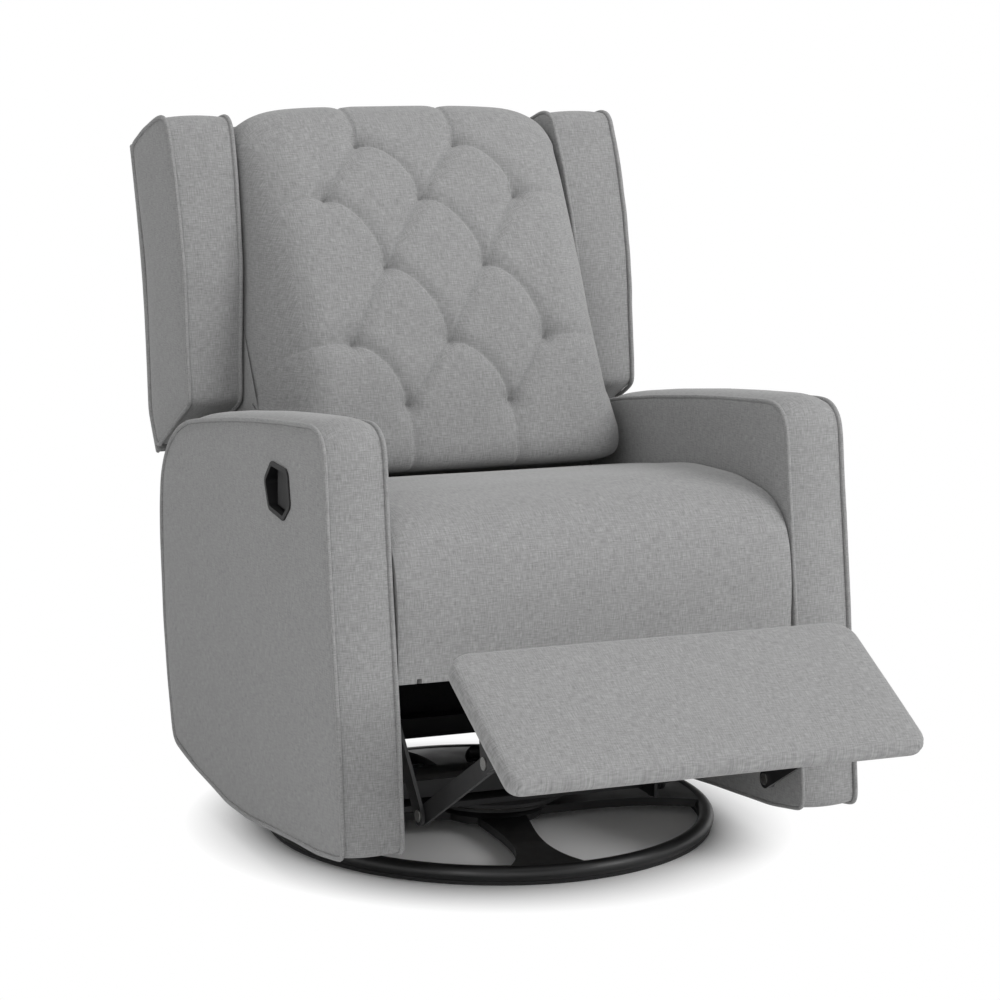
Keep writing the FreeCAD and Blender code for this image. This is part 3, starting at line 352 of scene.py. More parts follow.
def torus_mesh(name, rows, material):
    """A closed mesh from a grid that is closed both ways."""
    count, around = rows.shape[:2]
    i, j = np.meshgrid(np.arange(count), np.arange(around), indexing="ij")
    m, n = (i + 1) % count, (j + 1) % around
    quads = np.stack([i * around + j, i * around + n, m * around + n, m * around + j], axis=-1).reshape(-1, 4)
    verts = rows.reshape(-1, 3) + np.array([0, SETBACK, 0])
    if is_inside_out(verts, quads):
        quads = quads[:, ::-1]
    return linked_mesh(name, verts, quads.tolist(), material)


def padded_rows(loop, normal, low, high, corner, puff, band=8, rings=12, crown=0.0):
    """A padded slab between two planes: face rings, a round corner, a band, a corner and face rings again.

    loop is the outline in the plane, low and high the slab's two sides for each outline point. The band
    bulges by puff and crown as a parabola, crown being one value or one for each outline point. The faces
    bulge by puff times one minus the fourth power of the way out.
    Returns places across and the two places in the plane for each row.
    """
    centre = loop.mean(axis=0)
    rows = []
    out = np.linspace(0.03, 1, rings, endpoint=False)
    inner = loop - normal * corner

    def face(level, sign, shares):
        for share in shares:
            plane = centre + (inner - centre) * share
            across = level + sign * puff * (1 - share ** 4)
            rows.append((np.broadcast_to(across, len(loop)), plane))

    turn = np.linspace(0, math.pi / 2, 5)
    face(low, -1, out)
    for t in turn:
        rows.append((low + corner * (1 - math.cos(t)), inner + normal * corner * math.sin(t)))
    for u in np.linspace(0, 1, band + 2)[1:-1]:
        rise = np.reshape((puff + crown) * (1 - (2 * u - 1) ** 2), (-1, 1))
        rows.append((low + corner + (high - low - 2 * corner) * u, loop + normal * rise))
    for t in turn[::-1]:
        rows.append((high - corner * (1 - math.cos(t)), inner + normal * corner * math.sin(t)))
    face(high, 1, out[::-1])
    across = np.stack([np.broadcast_to(row[0], len(loop)) for row in rows])
    plane = np.stack([row[1] for row in rows])
    return across, plane


def side_rows(across, plane):
    """Rows for a slab whose outline is in the side plane."""
    return np.concatenate([across[..., None], plane], axis=-1)


# Materials

def add_node(tree, kind, settings=None, **inputs):
    """Adds a node, sets its properties, and sets or links its inputs."""
    node = tree.nodes.new(kind)
    for key, value in (settings or {}).items():
        setattr(node, key, value)
    for key, value in inputs.items():
        by_number = key[0] == "i" and key[1:].isdigit()
        socket = node.inputs[int(key[1:]) if by_number else key.replace("_", " ")]
        if isinstance(value, bpy.types.NodeSocket):
            tree.links.new(value, socket)
        else:
            socket.default_value = value
    return node


def new_material(name, base, roughness, metallic=0.0, **extra):
    material = bpy.data.materials.new(name)
    material.use_nodes = True
    tree = material.node_tree
    shader = tree.nodes["Principled BSDF"]
    shader.inputs["Base Color"].default_value = base
    shader.inputs["Roughness"].default_value = roughness
    shader.inputs["Metallic"].default_value = metallic
    for key, value in extra.items():
        shader.inputs[key.replace("_", " ")].default_value = value
    material.diffuse_color = base
    return material, tree, shader


def shaded_pair(tree, shader, factor, first, second):
    mix = add_node(tree, "ShaderNodeMix", {"data_type": "RGBA"}, Factor=factor)
    mix.inputs[6].default_value = first
    mix.inputs[7].default_value = second
    tree.links.new(mix.outputs[2], shader.inputs["Base Color"])
    return mix


def linen_weave():
    """Plain-weave linen upholstery cloth: matt, with slubs along both thread directions.

    The threads are drawn coarser than real ones, so that they show at a step away. The slubs are noise
    stretched about nine times along each thread direction.
    """
    material, tree, shader = new_material("plain_weave_linen", linear(colours().linen), 0.92,
                                          Sheen_Weight=0.25, Sheen_Roughness=0.5, Specular_IOR_Level=0.2)
    uv = add_node(tree, "ShaderNodeUVMap", {"uv_map": "threads"})
    warp_map = add_node(tree, "ShaderNodeMapping", Vector=uv.outputs[0],
                        Scale=(1 / THREAD_PITCH, 1 / SLUB_LENGTH, 1))
    weft_map = add_node(tree, "ShaderNodeMapping", Vector=uv.outputs[0],
                        Scale=(1 / SLUB_LENGTH, 1 / THREAD_PITCH, 1))
    warp = add_node(tree, "ShaderNodeTexNoise", Vector=warp_map.outputs[0], Scale=1.0, Detail=2.0)
    weft = add_node(tree, "ShaderNodeTexNoise", Vector=weft_map.outputs[0], Scale=1.0, Detail=2.0)
    both = add_node(tree, "ShaderNodeMath", {"operation": "ADD"}, i0=warp.outputs[0], i1=weft.outputs[0])
    patch_map = add_node(tree, "ShaderNodeMapping", Vector=uv.outputs[0],
                         Scale=(1 / PATCH_LENGTH, 1 / PATCH_LENGTH, 1))
    patch = add_node(tree, "ShaderNodeTexNoise", Vector=patch_map.outputs[0], Scale=1.0, Detail=3.0)
    third = add_node(tree, "ShaderNodeMath", {"operation": "MULTIPLY_ADD"},
                     i0=patch.outputs[0], i1=PATCH_SHARE, i2=both.outputs[0])
    tone = add_node(tree, "ShaderNodeMapRange", i0=third.outputs[0], i1=0.72, i2=1.44, i3=1.0, i4=0.0)
    shaded_pair(tree, shader, tone.outputs[0], linear(colours().linen), linear(colours().linen_dark))
    bump = add_node(tree, "ShaderNodeBump", Strength=0.22, Distance=0.0006, Height=both.outputs[0])
    tree.links.new(bump.outputs[0], shader.inputs["Normal"])
    return material


def black_enamel():
    """Black powder-coated steel: a fine orange peel, a little worn grey in broad patches."""
    material, tree, shader = new_material("powder_coated_steel", linear(colours().enamel), 0.42)
    place = add_node(tree, "ShaderNodeTexCoord")
    peel = add_node(tree, "ShaderNodeTexNoise", Vector=place.outputs["Object"], Scale=1 / 0.0016, Detail=2.0)
    wear = add_node(tree, "ShaderNodeTexNoise", Vector=place.outputs["Object"], Scale=1 / 0.04, Detail=4.0)
    tone = add_node(tree, "ShaderNodeMapRange", i0=wear.outputs[0], i1=0.45, i2=0.75, i3=0.0, i4=0.5)
    shaded_pair(tree, shader, tone.outputs[0], linear(colours().enamel), linear("#1c1c1e"))
    rough = add_node(tree, "ShaderNodeMapRange", i0=wear.outputs[0], i1=0.3, i2=0.7, i3=0.36, i4=0.5)
    tree.links.new(rough.outputs[0], shader.inputs["Roughness"])
    bump = add_node(tree, "ShaderNodeBump", Strength=0.12, Distance=0.0002, Height=peel.outputs[0])
    tree.links.new(bump.outputs[0], shader.inputs["Normal"])
    return material


def plated_zinc():
    """Zinc-plated steel: a fine mottle of brighter and duller metal."""
    material, tree, shader = new_material("zinc_plated_steel", linear("#b4b4b2"), 0.34, 1.0)
    place = add_node(tree, "ShaderNodeTexCoord")
    noise = add_node(tree, "ShaderNodeTexNoise", Vector=place.outputs["Object"], Scale=1 / 0.002, Detail=3.0)
    tone = add_node(tree, "ShaderNodeMapRange", i0=noise.outputs[0], i1=0.3, i2=0.7, i3=0.26, i4=0.44)
    tree.links.new(tone.outputs[0], shader.inputs["Roughness"])
    shaded_pair(tree, shader, noise.outputs[0], linear("#b4b4b2"), linear("#8f8f8c"))
    return material


def spring_steel():
    """Oil-tempered spring wire: dark grey with a drawn, slightly oily surface."""
    material, tree, shader = new_material("oil_tempered_wire", linear("#5d5e60"), 0.38, 1.0)
    place = add_node(tree, "ShaderNodeTexCoord")
    noise = add_node(tree, "ShaderNodeTexNoise", Vector=place.outputs["Object"], Scale=1 / 0.004, Detail=3.0)
    shaded_pair(tree, shader, noise.outputs[0], linear("#5d5e60"), linear("#3c3d3f"))
    return material


def moulded_black(name, code, rough):
    """Moulded polypropylene: a fine spark-eroded grain that breaks up the highlight."""
    material, tree, shader = new_material(name, linear(code), rough, Specular_IOR_Level=0.3)
    place = add_node(tree, "ShaderNodeTexCoord")
    grain = add_node(tree, "ShaderNodeTexNoise", Vector=place.outputs["Object"], Scale=1 / 0.0009, Detail=2.0)
    tone = add_node(tree, "ShaderNodeMapRange", i0=grain.outputs[0], i1=0.3, i2=0.7,
                    i3=rough - 0.07, i4=rough + 0.07)
    tree.links.new(tone.outputs[0], shader.inputs["Roughness"])
    bump = add_node(tree, "ShaderNodeBump", Strength=0.15, Distance=0.0001, Height=grain.outputs[0])
    tree.links.new(bump.outputs[0], shader.inputs["Normal"])
    return material


def sawn_wood(name, light, dark, width):
    """Unfinished rubberwood or plywood: grain stretched twelve times upwards, matt and dry."""
    material, tree, shader = new_material(name, linear(light), 0.7)
    place = add_node(tree, "ShaderNodeTexCoord")
    spread = add_node(tree, "ShaderNodeMapping", Vector=place.outputs["Object"],
                      Scale=(1 / width, 1 / width, 1 / (width * 12)))
    grain = add_node(tree, "ShaderNodeTexNoise", Vector=spread.outputs[0],
                     Scale=1.0, Detail=4.0, Distortion=0.4)
    shaded_pair(tree, shader, grain.outputs[0], linear(light), linear(dark))
    bump = add_node(tree, "ShaderNodeBump", Strength=0.15, Distance=0.0003, Height=grain.outputs[0])
    tree.links.new(bump.outputs[0], shader.inputs["Normal"])
    return material


def black_lining_painted_shade():
    """Spun-bonded black lining cloth: matt, with a fine random web. Its black is partly painted shade: it
    stands for the shade on the inside of the cover that hangs below the back.
    """
    # Black lining cloth whose black is partly painted shade, standing for the shadowed inside of the cover
    # below the back
    material, tree, shader = new_material("lining_with_painted_shade", linear("#232325"), 0.95)
    place = add_node(tree, "ShaderNodeTexCoord")
    web = add_node(tree, "ShaderNodeTexNoise", Vector=place.outputs["Object"], Scale=1 / 0.003, Detail=4.0)
    shaded_pair(tree, shader, web.outputs[0], linear("#1b1b1d"), linear("#323235"))
    return material


MATERIALS = {}


def material(slot):
    makers = {
        "cover_fabric": linen_weave,
        "black_steel": black_enamel,
        "zinc_steel": plated_zinc,
        "spring_wire": spring_steel,
        "black_plastic": lambda: moulded_black("moulded_polypropylene", "#0e0e0f", 0.5),
        "bearing_nylon": lambda: moulded_black("moulded_nylon", "#d6d3ca", 0.5),
        "strip_plastic": lambda: moulded_black("extruded_polyethylene", "#1c1c1d", 0.55),
        "frame_wood": lambda: sawn_wood("sawn_rubberwood", "#cdb38c", "#a98c62", 0.008),
        "plywood": lambda: sawn_wood("poplar_plywood", "#d8c29c", "#b99c70", 0.012),
        # The lining's black cloth is partly painted shade below the back
        "black_lining": black_lining_painted_shade,
    }
    if slot not in MATERIALS:
        MATERIALS[slot] = makers[slot]()
    return MATERIALS[slot]


def settle(obj, body, *nodes):
    """Hangs a cover piece on its body, and lets it stand for the CAD nodes it replaces."""
    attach(obj, body)
    if nodes:
        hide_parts(*nodes)
    return obj


# Pieces

def arm_outline():
    return loop_outline(ARM_FRONT + ARM_TOP + ARM_BACK + ARM_BOTTOM, 420, 2)


def cut_through(piece, loop, x0, x1):
    """Cuts an outline in the side plane, carried from x0 to x1, out of a piece."""
    levels = np.array([x0, x1])
    rows = side_rows(np.broadcast_to(levels[:, None], (2, len(loop))), np.stack([loop, loop]))
    cutter = mesh_from_rows("cutter", rows, material("cover_fabric"))
    modifier = piece.modifiers.new("cut", "BOOLEAN")
    modifier.operation = "DIFFERENCE"
    modifier.solver = "EXACT"
    modifier.object = cutter
    bpy.context.view_layer.update()
    shape = bpy.data.meshes.new_from_object(piece.evaluated_get(bpy.context.evaluated_depsgraph_get()))
    piece.modifiers.clear()
    piece.data = shape
    shape.set_sharp_from_angle(angle=SHARP_ANGLE)
    bpy.data.objects.remove(cutter)


def cut_cup_hole(arm, face_x):
    """The pocket for the release cup: the cup's outline, moved in under its rim and carried inwards."""
    loop, normal = loop_outline(CUP_OUTLINE, 120, 3)
    cut_through(arm, loop - normal * CUP_HOLE_INSET, face_x - CUP_CUTTER_REACH, face_x + CUP_POCKET)


def build_arm(side):
    """One arm: a padded slab on the side outline, its two faces slightly full, with sewn corners."""
    loop, normal = arm_outline()
    inner = sizes().seat_width / 2
    outer = inner + sizes().arm_thickness
    crown = ARM_TOP_CROWN * np.clip(normal[:, 1], 0, 1) ** 2
    crown = crown + ARM_FRONT_CROWN * np.clip(-normal[:, 0], 0, 1) ** 2
    across, plane = padded_rows(loop, normal, inner + 0.0005, outer - FACE_INSET, ARM_CORNER, 0.0022,
                                band=14, rings=16, crown=crown)
    rough = wander(plane[..., 0], plane[..., 1], 11 + side)
    rows = side_rows(across * side + side * ARM_UNEVEN * rough, plane)
    name = "arm_cover_right" if side > 0 else "arm_cover_left"
    obj = mesh_from_rows(name, rows, material("cover_fabric"))
    if side < 0:
        cut_cup_hole(obj, -outer)
    settle(obj, "chassis", "arm_right" if side > 0 else "arm_left")
    radius = sizes().piping_radius
    for label, level in (("inner", inner + radius), ("outer", outer - radius * 0.7)):
        seam = loop + normal * radius * 0.25
        path = np.stack([np.full(len(loop), side * level), seam[:, 0], seam[:, 1]], axis=1)
        path = piping_wobble(path, 31 + side)
        cord = tube_along(name + "_piping_" + label, path, radius, material("cover_fabric"), True)
        settle(cord, "chassis")


def piping_wobble(path, seed):
    """Piping never runs quite straight: moved by up to half a millimetre along its length."""
    at = np.linspace(0, math.tau, len(path), endpoint=False)
    rng = np.random.default_rng(seed)
    shift = np.zeros_like(path)
    for k in (3, 7, 13, 22):
        shift += np.sin(k * at + rng.uniform(0, math.tau))[:, None] * rng.normal(0, 0.00018, 3)
    return path + shift


def back_frame_y(z):
    """The front line of the back frame at a height, as the CAD frame has it."""
    return FRAME_FOOT[0] + (z - FRAME_FOOT[1]) * math.tan(FRAME_LEAN)


def wing_inner_x(z):
    """How far out a wing's inner face stands at a height: the wing is thicker at its top."""
    return WING_INNER_TOP[0] + (WING_INNER_TOP[1] - z) * WING_INNER_TAPER


def build_wing(side):
    """One wing: a padded slab, thicker at the top, whose inner face comes in towards the top."""
    loop, normal = loop_outline(WING_FRONT + WING_TOP + WING_BACK, 300, 2)
    outer = sizes().wing_span / 2
    z = loop[:, 1]
    inner = wing_inner_x(z)
    behind = np.clip((loop[:, 0] - back_frame_y(z) + 0.004) / 0.012, 0, 1)
    inner = inner + (np.maximum(inner, WING_BEHIND_FRAME) - inner) * behind
    across, plane = padded_rows(loop, normal, inner, outer - FACE_INSET, WING_CORNER, 0.003,
                                band=10, rings=14)
    rough = wander(plane[..., 0], plane[..., 1], 3 + side)
    rows = side_rows(across * side + side * WING_UNEVEN * rough, plane)
    name = "wing_cover_right" if side > 0 else "wing_cover_left"
    obj = mesh_from_rows(name, rows, material("cover_fabric"))
    settle(obj, "back", "wing_right" if side > 0 else "wing_left")
    radius = sizes().piping_radius
    for label, level in (("inner", inner + radius), ("outer", np.full(len(loop), outer - radius * 0.7))):
        seam = loop + normal * radius * 0.25
        path = np.stack([side * level, seam[:, 0], seam[:, 1]], axis=1)
        path = piping_wobble(path, 41 + side)
        cord = tube_along(name + "_piping_" + label, path, radius, material("cover_fabric"), True)
        settle(cord, "back")


TUFT_ROWS = [(0.183, 2, 0.161), (0.283, 3, 0.156), (0.399, 2, 0.161), (0.522, 3, 0.156), (0.626, 2, 0.165)]
CUSHION_GAP = 0.0025
SIDE_ROUND = 0.085
SIDE_FALL = 0.150
# From here along the face its cover is drawn straight back, and no longer square to the face
STRAIGHT_FROM = 0.570
STRAIGHT_BLEND = 0.070


def tuft_places():
    """Each tuft as a place across and a length along the face, row by row."""
    return [[((k - (count - 1) / 2) * pitch, along) for k in range(count)]
            for along, count, pitch in TUFT_ROWS]


def bent_run(a, b, bend, count=7):
    """A run from a to b: a quadratic curve that leaves a sideways and reaches b from above, by a share."""
    a, b = np.array(a), np.array(b)
    middle = (a + b) / 2
    pull = middle + (np.array([b[0], a[1]]) - middle) * bend
    t = np.linspace(0, 1, count)[:, None]
    return (1 - t) ** 2 * a + 2 * t * (1 - t) * pull + t ** 2 * b


def pleat_lines(length, half):
    """The folded pleats as runs of places, each with its strength at the start and at the end.

    Down to the left they lie straight, down to the right they bend. The others go over the top, out to
    the sides and down to the seat, and flatten out on their way.
    """
    rows = tuft_places()
    reach = TUFT_ROWS[0][2]
    lines = []
    for upper, lower in zip(rows[:-1], rows[1:]):
        for a in upper:
            for b in lower:
                if abs(a[0] - b[0]) < reach:
                    lines.append((bent_run(a, b, 0.0, 2) if b[0] < a[0] else bent_run(a, b, 0.62), 1.0, 1.0))
    for a in rows[0]:
        lines.append((np.array([a, (a[0] * 1.02, 0.03)]), 1.0, 0.35))
    for row, drop in ((rows[1], 0.024), (rows[3], 0.012)):
        lines.append((bent_run((-half, row[0][1] + drop), row[0], -0.5), 0.45, 0.8))
        lines.append((np.array([row[-1], (half, row[-1][1])]), 0.8, 0.15))
    for a in rows[4]:
        lines.append((np.array([a, (a[0] * 1.03, length - 0.16)]), 0.9, 0.45))
    return lines


def gap_to_run(x, s, run):
    """The signed distance from places to a run of straight bits, and the share of the way along it."""
    best = np.full(x.shape, np.inf)
    side = np.ones(x.shape)
    share = np.zeros(x.shape)
    for k, (a, b) in enumerate(zip(run[:-1], run[1:])):
        dx, ds = b - a
        along = np.clip(((x - a[0]) * dx + (s - a[1]) * ds) / (dx * dx + ds * ds), 0, 1)
        gap = np.hypot(x - a[0] - along * dx, s - a[1] - along * ds)
        near = gap < best
        best = np.where(near, gap, best)
        side = np.where(near, np.sign((x - a[0]) * ds - (s - a[1]) * dx), side)
        share = np.where(near, (k + along) / (len(run) - 1), share)
    return best * side, share


def drawn_in(x, s, length, half):
    """How far the cover is drawn in: at each tuft a narrow pit in a dish, along each pleat a lipped fold.

    A fold is steep on one side and falls off over a few millimetres on the other, in a shallow valley.
    """
    depth = np.zeros(x.shape)
    for run, first, last in pleat_lines(length, half):
        gap, share = gap_to_run(x, s, run)
        fall = np.where(gap > 0, np.exp(-np.abs(gap) / 0.0075), np.exp(-(gap / 0.0022) ** 2))
        fold = (first + (last - first) * share) * (0.60 * fall + 0.40 * np.exp(-(gap / 0.013) ** 2))
        depth = np.maximum(depth, sizes().pleat_depth * fold)
    dish = np.zeros(x.shape)
    for row in tuft_places():
        for tx, ts in row:
            gap = np.hypot(x - tx, s - ts)
            dish = np.maximum(dish, 0.50 * np.exp(-(gap / 0.019) ** 2) + 0.50 * np.exp(-gap / 0.0055))
    return depth + sizes().tuft_depth * dish


def side_fall(x, half, loop, along):
    """How far the face falls back towards its sides: a quarter ellipse that ends by the wing's front edge.

    It is SIDE_ROUND wide, and as deep as the face stands proud of the wing, at most SIDE_FALL and never
    all the way to the back. It is less deep at the cushion's foot, and over the top it becomes a low arch.
    """
    wing = np.array(WING_FRONT) * MM
    proud = np.interp(loop[:, 1], wing[:, 1], wing[:, 0]) - loop[:, 0]
    foot, top = np.array(BACK_FACE[-1]) * MM, np.array(BACK_FACE[0]) * MM
    rear = np.interp(loop[:, 1], [foot[1], top[1]], [foot[0], top[0]])
    reach = np.minimum(np.clip(proud + 0.015, 0.045, SIDE_FALL), 0.85 * np.maximum(rear - loop[:, 0], 0.01))
    reach = reach * (1 - 0.3 * np.clip((along - 0.62) / 0.06, 0, 1))
    out = np.clip((np.abs(x) - half + SIDE_ROUND) / SIDE_ROUND, 0, 1)
    fall = reach * (1 - np.sqrt(1 - (out * 0.998) ** 2))
    edge = np.abs(x) / half
    arch = np.exp(-(along / 0.13) ** 2)
    return (1 - arch) * fall + arch * (0.012 * edge ** 2 + 0.034 * edge ** 8)


def build_back_cushion():
    """The back cushion: its side outline carried across, drawn in at tufts and pleats, round at the sides."""
    face = smoothed(resample(BACK_FACE, 460, False), 4, False) * MM
    end, start = face[-1], face[0]
    back = np.linspace(end, start, 32)[1:-1]
    loop = np.concatenate([face, back])
    ahead = np.gradient(face, axis=0)
    ahead /= np.linalg.norm(ahead, axis=1)[:, None]
    length = np.linalg.norm(np.diff(face, axis=0), axis=1).sum()
    along = np.concatenate([np.linspace(0, length, len(face)), np.full(len(back), length)])
    straight = np.clip((along[:len(face)] - STRAIGHT_FROM) / STRAIGHT_BLEND, 0, 1)[:, None]
    inward = np.zeros_like(loop)
    square = np.stack([-ahead[:, 1], ahead[:, 0]], axis=1)
    inward[:len(face)] = square * (1 - straight) + np.array([1.0, 0.0]) * straight
    inward[:len(face)] /= np.linalg.norm(inward[:len(face)], axis=1)[:, None]
    on_face = np.concatenate([np.ones(len(face)), np.zeros(len(back))])
    fade = np.clip(np.minimum(along / 0.05, (length - along) / 0.10), 0, 1) * on_face
    u = np.sin(np.linspace(-math.pi / 2, math.pi / 2, 300) * 0.90) / math.sin(math.pi / 2 * 0.90)
    half = wing_inner_x(loop[:, 1]) - CUSHION_GAP
    x = u[:, None] * half[None, :]
    s = np.broadcast_to(along[None, :], x.shape)
    edge = np.abs(u)[:, None]
    near_side = np.clip((1 - edge) * 9, 0.25, 1)
    depth = drawn_in(x, s, length, half.mean()) * near_side + side_fall(x, half, loop, along)
    depth = depth + BACK_UNEVEN * wander(x, s, 5)
    plane = loop[None] + inward[None] * (depth * fade[None])[..., None]
    rows = np.concatenate([x[..., None], plane], axis=-1)
    sides = [0.15, 0.4, 0.65, 0.85, 0.95]
    centre = rows[0].mean(axis=0)
    first = np.stack([centre + (rows[0] - centre) * share for share in sides])
    centre = rows[-1].mean(axis=0)
    last = np.stack([centre + (rows[-1] - centre) * share for share in sides[::-1]])
    rows = np.concatenate([first, rows, last])
    obj = mesh_from_rows("back_cushion_cover", rows, material("cover_fabric"))
    settle(obj, "back", "back_cushion")


def build_seat_cushion():
    """The seat pad: its side outline carried across, crowned in the middle and rounded down at the arms."""
    top = smoothed(resample(SEAT_TOP, 220, False), 3, False)
    loop = np.concatenate([top, resample([top[-1]] + SEAT_UNDER + [top[0]], 90, False)[1:-1]]) * MM
    ahead = np.gradient(loop, axis=0)
    ahead /= np.linalg.norm(ahead, axis=1)[:, None] + 1e-12
    inward = np.stack([ahead[:, 1], -ahead[:, 0]], axis=1)
    inward[len(top):] = 0
    along = np.concatenate([[0], np.cumsum(np.linalg.norm(np.diff(loop, axis=0), axis=1))])
    length = along[len(top) - 1]
    fade = np.clip(np.minimum(along, length - along) / 0.06, 0, 1)
    fade[len(top):] = 0
    half = sizes().seat_width / 2 - 0.0030
    u = np.sin(np.linspace(-math.pi / 2, math.pi / 2, 120) * 0.95) / math.sin(math.pi / 2 * 0.95)
    x = u * half
    edge = np.abs(u)
    depth = 0.002 * edge ** 2.2 + 0.006 * edge ** 24
    depth = depth[:, None] + SEAT_UNEVEN * wander(x[:, None], along[None, :], 8)
    depth = depth - 0.004 * np.exp(-((along[None, :] - 0.30) / 0.14) ** 2) * (1 - edge[:, None] ** 2)
    plane = loop[None] + inward[None] * (depth * fade[None])[..., None]
    rows = np.concatenate([np.broadcast_to(x[:, None, None], (len(x), len(loop), 1)), plane], axis=-1)
    centre = rows[0].mean(axis=0) + np.array([0, 0, 0.03])
    sides = [0.2, 0.55, 0.85]
    first = np.stack([centre + (rows[0] - centre) * s for s in sides])
    centre = rows[-1].mean(axis=0) + np.array([0, 0, 0.03])
    last = np.stack([centre + (rows[-1] - centre) * s for s in sides[::-1]])
    rows = np.concatenate([first, rows, last])
    obj = mesh_from_rows("seat_cushion_cover", rows, material("cover_fabric"))
    link_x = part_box("swing_links")[1][0]
    slot = np.array([(LINK_ROOM_FRONT, LINK_ROOM_LOW), (LINK_ROOM_BACK, LINK_ROOM_LOW),
                     (LINK_ROOM_BACK, LINK_ROOM_TOP), (LINK_ROOM_FRONT, LINK_ROOM_TOP)])
    for side in (-1, 1):
        cut_through(obj, slot, side * (link_x - LINK_ROOM_INWARD), side * (link_x + LINK_ROOM_OUTWARD))
    settle(obj, "seat", "seat_cushion")


def pad_outline(half_width, half_length, top_radius, low_radius, count):
    """A rounded rectangle in the pad's plane, X across and Y towards the seat, with arcs at its corners."""
    points = []
    corners = [(1, 1, top_radius, 0), (-1, 1, top_radius, 90),
               (-1, -1, low_radius, 180), (1, -1, low_radius, 270)]
    for sx, sy, r, start in corners:
        cx, cy = sx * (half_width - r), sy * (half_length - r)
        for step in np.radians(np.linspace(start, start + 90, 14)):
            points.append((cx + r * math.cos(step), cy + r * math.sin(step)))
    return loop_outline(points, count, 1)


def to_chair(across, plane):
    """From the pad's own axes to the chair: turned about X by the pad's tilt and moved to its place."""
    x, y = plane[..., 0], plane[..., 1]
    c, s = math.cos(PAD_TILT), math.sin(PAD_TILT)
    back = PAD_CENTRE[0] * MM + y * c - across * s
    up = PAD_CENTRE[1] * MM + y * s + across * c
    return np.stack([x, back, up], axis=-1)


def build_footrest():
    """The footrest pad: a rounded slab with a crowned face and the cover pulled round its edges."""
    half = sizes().seat_width / 2 - PAD_SIDE_GAP
    half_length = PAD_LENGTH / 2 * MM
    loop, normal = pad_outline(half / MM, PAD_LENGTH / 2, PAD_TOP_CORNER, PAD_LOW_CORNER, 420)
    edge_top = -PAD_CROWN
    across, plane = padded_rows(loop, normal, -PAD_THICKNESS * MM, edge_top, PAD_CORNER, 0.001,
                                band=8, rings=18)
    face = np.where(across > edge_top - 0.006, 1.0, 0.0)
    radial = 1 - (1 - (plane[..., 0] / half) ** 2) * (1 - (plane[..., 1] / half_length) ** 2)
    full = PAD_CROWN * np.clip(1 - radial ** 3, 0, 1)
    across = across + face * (full + PAD_UNEVEN * wander(plane[..., 0], plane[..., 1], 9))
    rows = to_chair(across, plane)
    uv = plane.reshape(-1, 2)
    uv = np.concatenate([uv, [[0, 0], [0, 0]]])
    obj = mesh_from_rows("footrest_cover", rows, material("cover_fabric"), uv)
    settle(obj, "footrest", "footrest_pad")


def build_rear_covers():
    """The stretched cover behind the back: a thin slab on the rear line, slightly full between its seams."""
    thick = 0.008
    line = smoothed(resample(REAR_LINE, 120, False), 2, False) * MM
    ahead = np.gradient(line, axis=0)
    ahead /= np.linalg.norm(ahead, axis=1)[:, None]
    half = sizes().wing_span / 2
    u = np.linspace(-1, 1, 90)
    seamed = np.clip(np.sin(np.linspace(0, math.pi, len(line))) * 3, 0, 1)
    full = 0.004 * (1 - u ** 8)[:, None] * seamed[None, :]
    x, y, z = u[:, None] * half, line[None, :, 0], line[None, :, 1]
    outer = np.stack(np.broadcast_arrays(x, y + full * 0.6, z), axis=-1)
    inner = np.stack(np.broadcast_arrays(x, y - thick, z), axis=-1)
    rows = np.concatenate([outer, inner[::-1]]).transpose(1, 0, 2)
    obj = mesh_from_rows("rear_cover_cloth", rows, material("cover_fabric"))
    settle(obj, "back", "rear_cover")
    radius = sizes().piping_radius
    for side in (-1, 1):
        seam_x = np.full(len(line), side * (half - radius))
        path = np.stack([seam_x, line[:, 0] - radius * 0.3, line[:, 1]], axis=1)
        name = "rear_piping_right" if side > 0 else "rear_piping_left"
        cord = tube_along(name, path, radius, material("cover_fabric"), False)
        settle(cord, "back")


def strip_piece(name, corners, half, body, node):
    """A cloth-covered strip between two sides: a rounded polygon carried straight across."""
    loop, normal = loop_outline(corners, 160, 1)
    ends = np.full(len(loop), half)
    across, plane = padded_rows(loop, normal, -ends, ends, 0.002, 0.0006, band=24, rings=4)
    obj = mesh_from_rows(name, side_rows(across, plane), material("cover_fabric"))
    settle(obj, body, node)


def build_strips():
    strip_piece("top_cover_cloth", TOP_COVER, TOP_COVER_HALF, "back", "top_cover")
    strip_piece("lower_rear_cloth", LOWER_REAR_COVER, LOWER_REAR_HALF, "back", "lower_rear_cover")


def dress_frame():
    """Gives each CAD part that stays in sight its own finish."""
    for part in frame["record"]["subparts"]:
        obj = frame["nodes"][part["node"]]
        finish = material(part["material_slot"])
        if not obj.data.materials:
            obj.data.materials.append(finish)
        for k in range(len(obj.data.materials)):
            obj.material_slots[k].material = finish


def add_area(name, place, target, size, power):
    light = bpy.data.lights.new(name, "AREA")
    light.shape = "DISK"
    light.size = size
    light.energy = power
    obj = bpy.data.objects.new(name, light)
    obj.location = place
    obj.rotation_euler = (Vector(target) - Vector(place)).to_track_quat("-Z", "Y").to_euler()
    bpy.context.scene.collection.objects.link(obj)


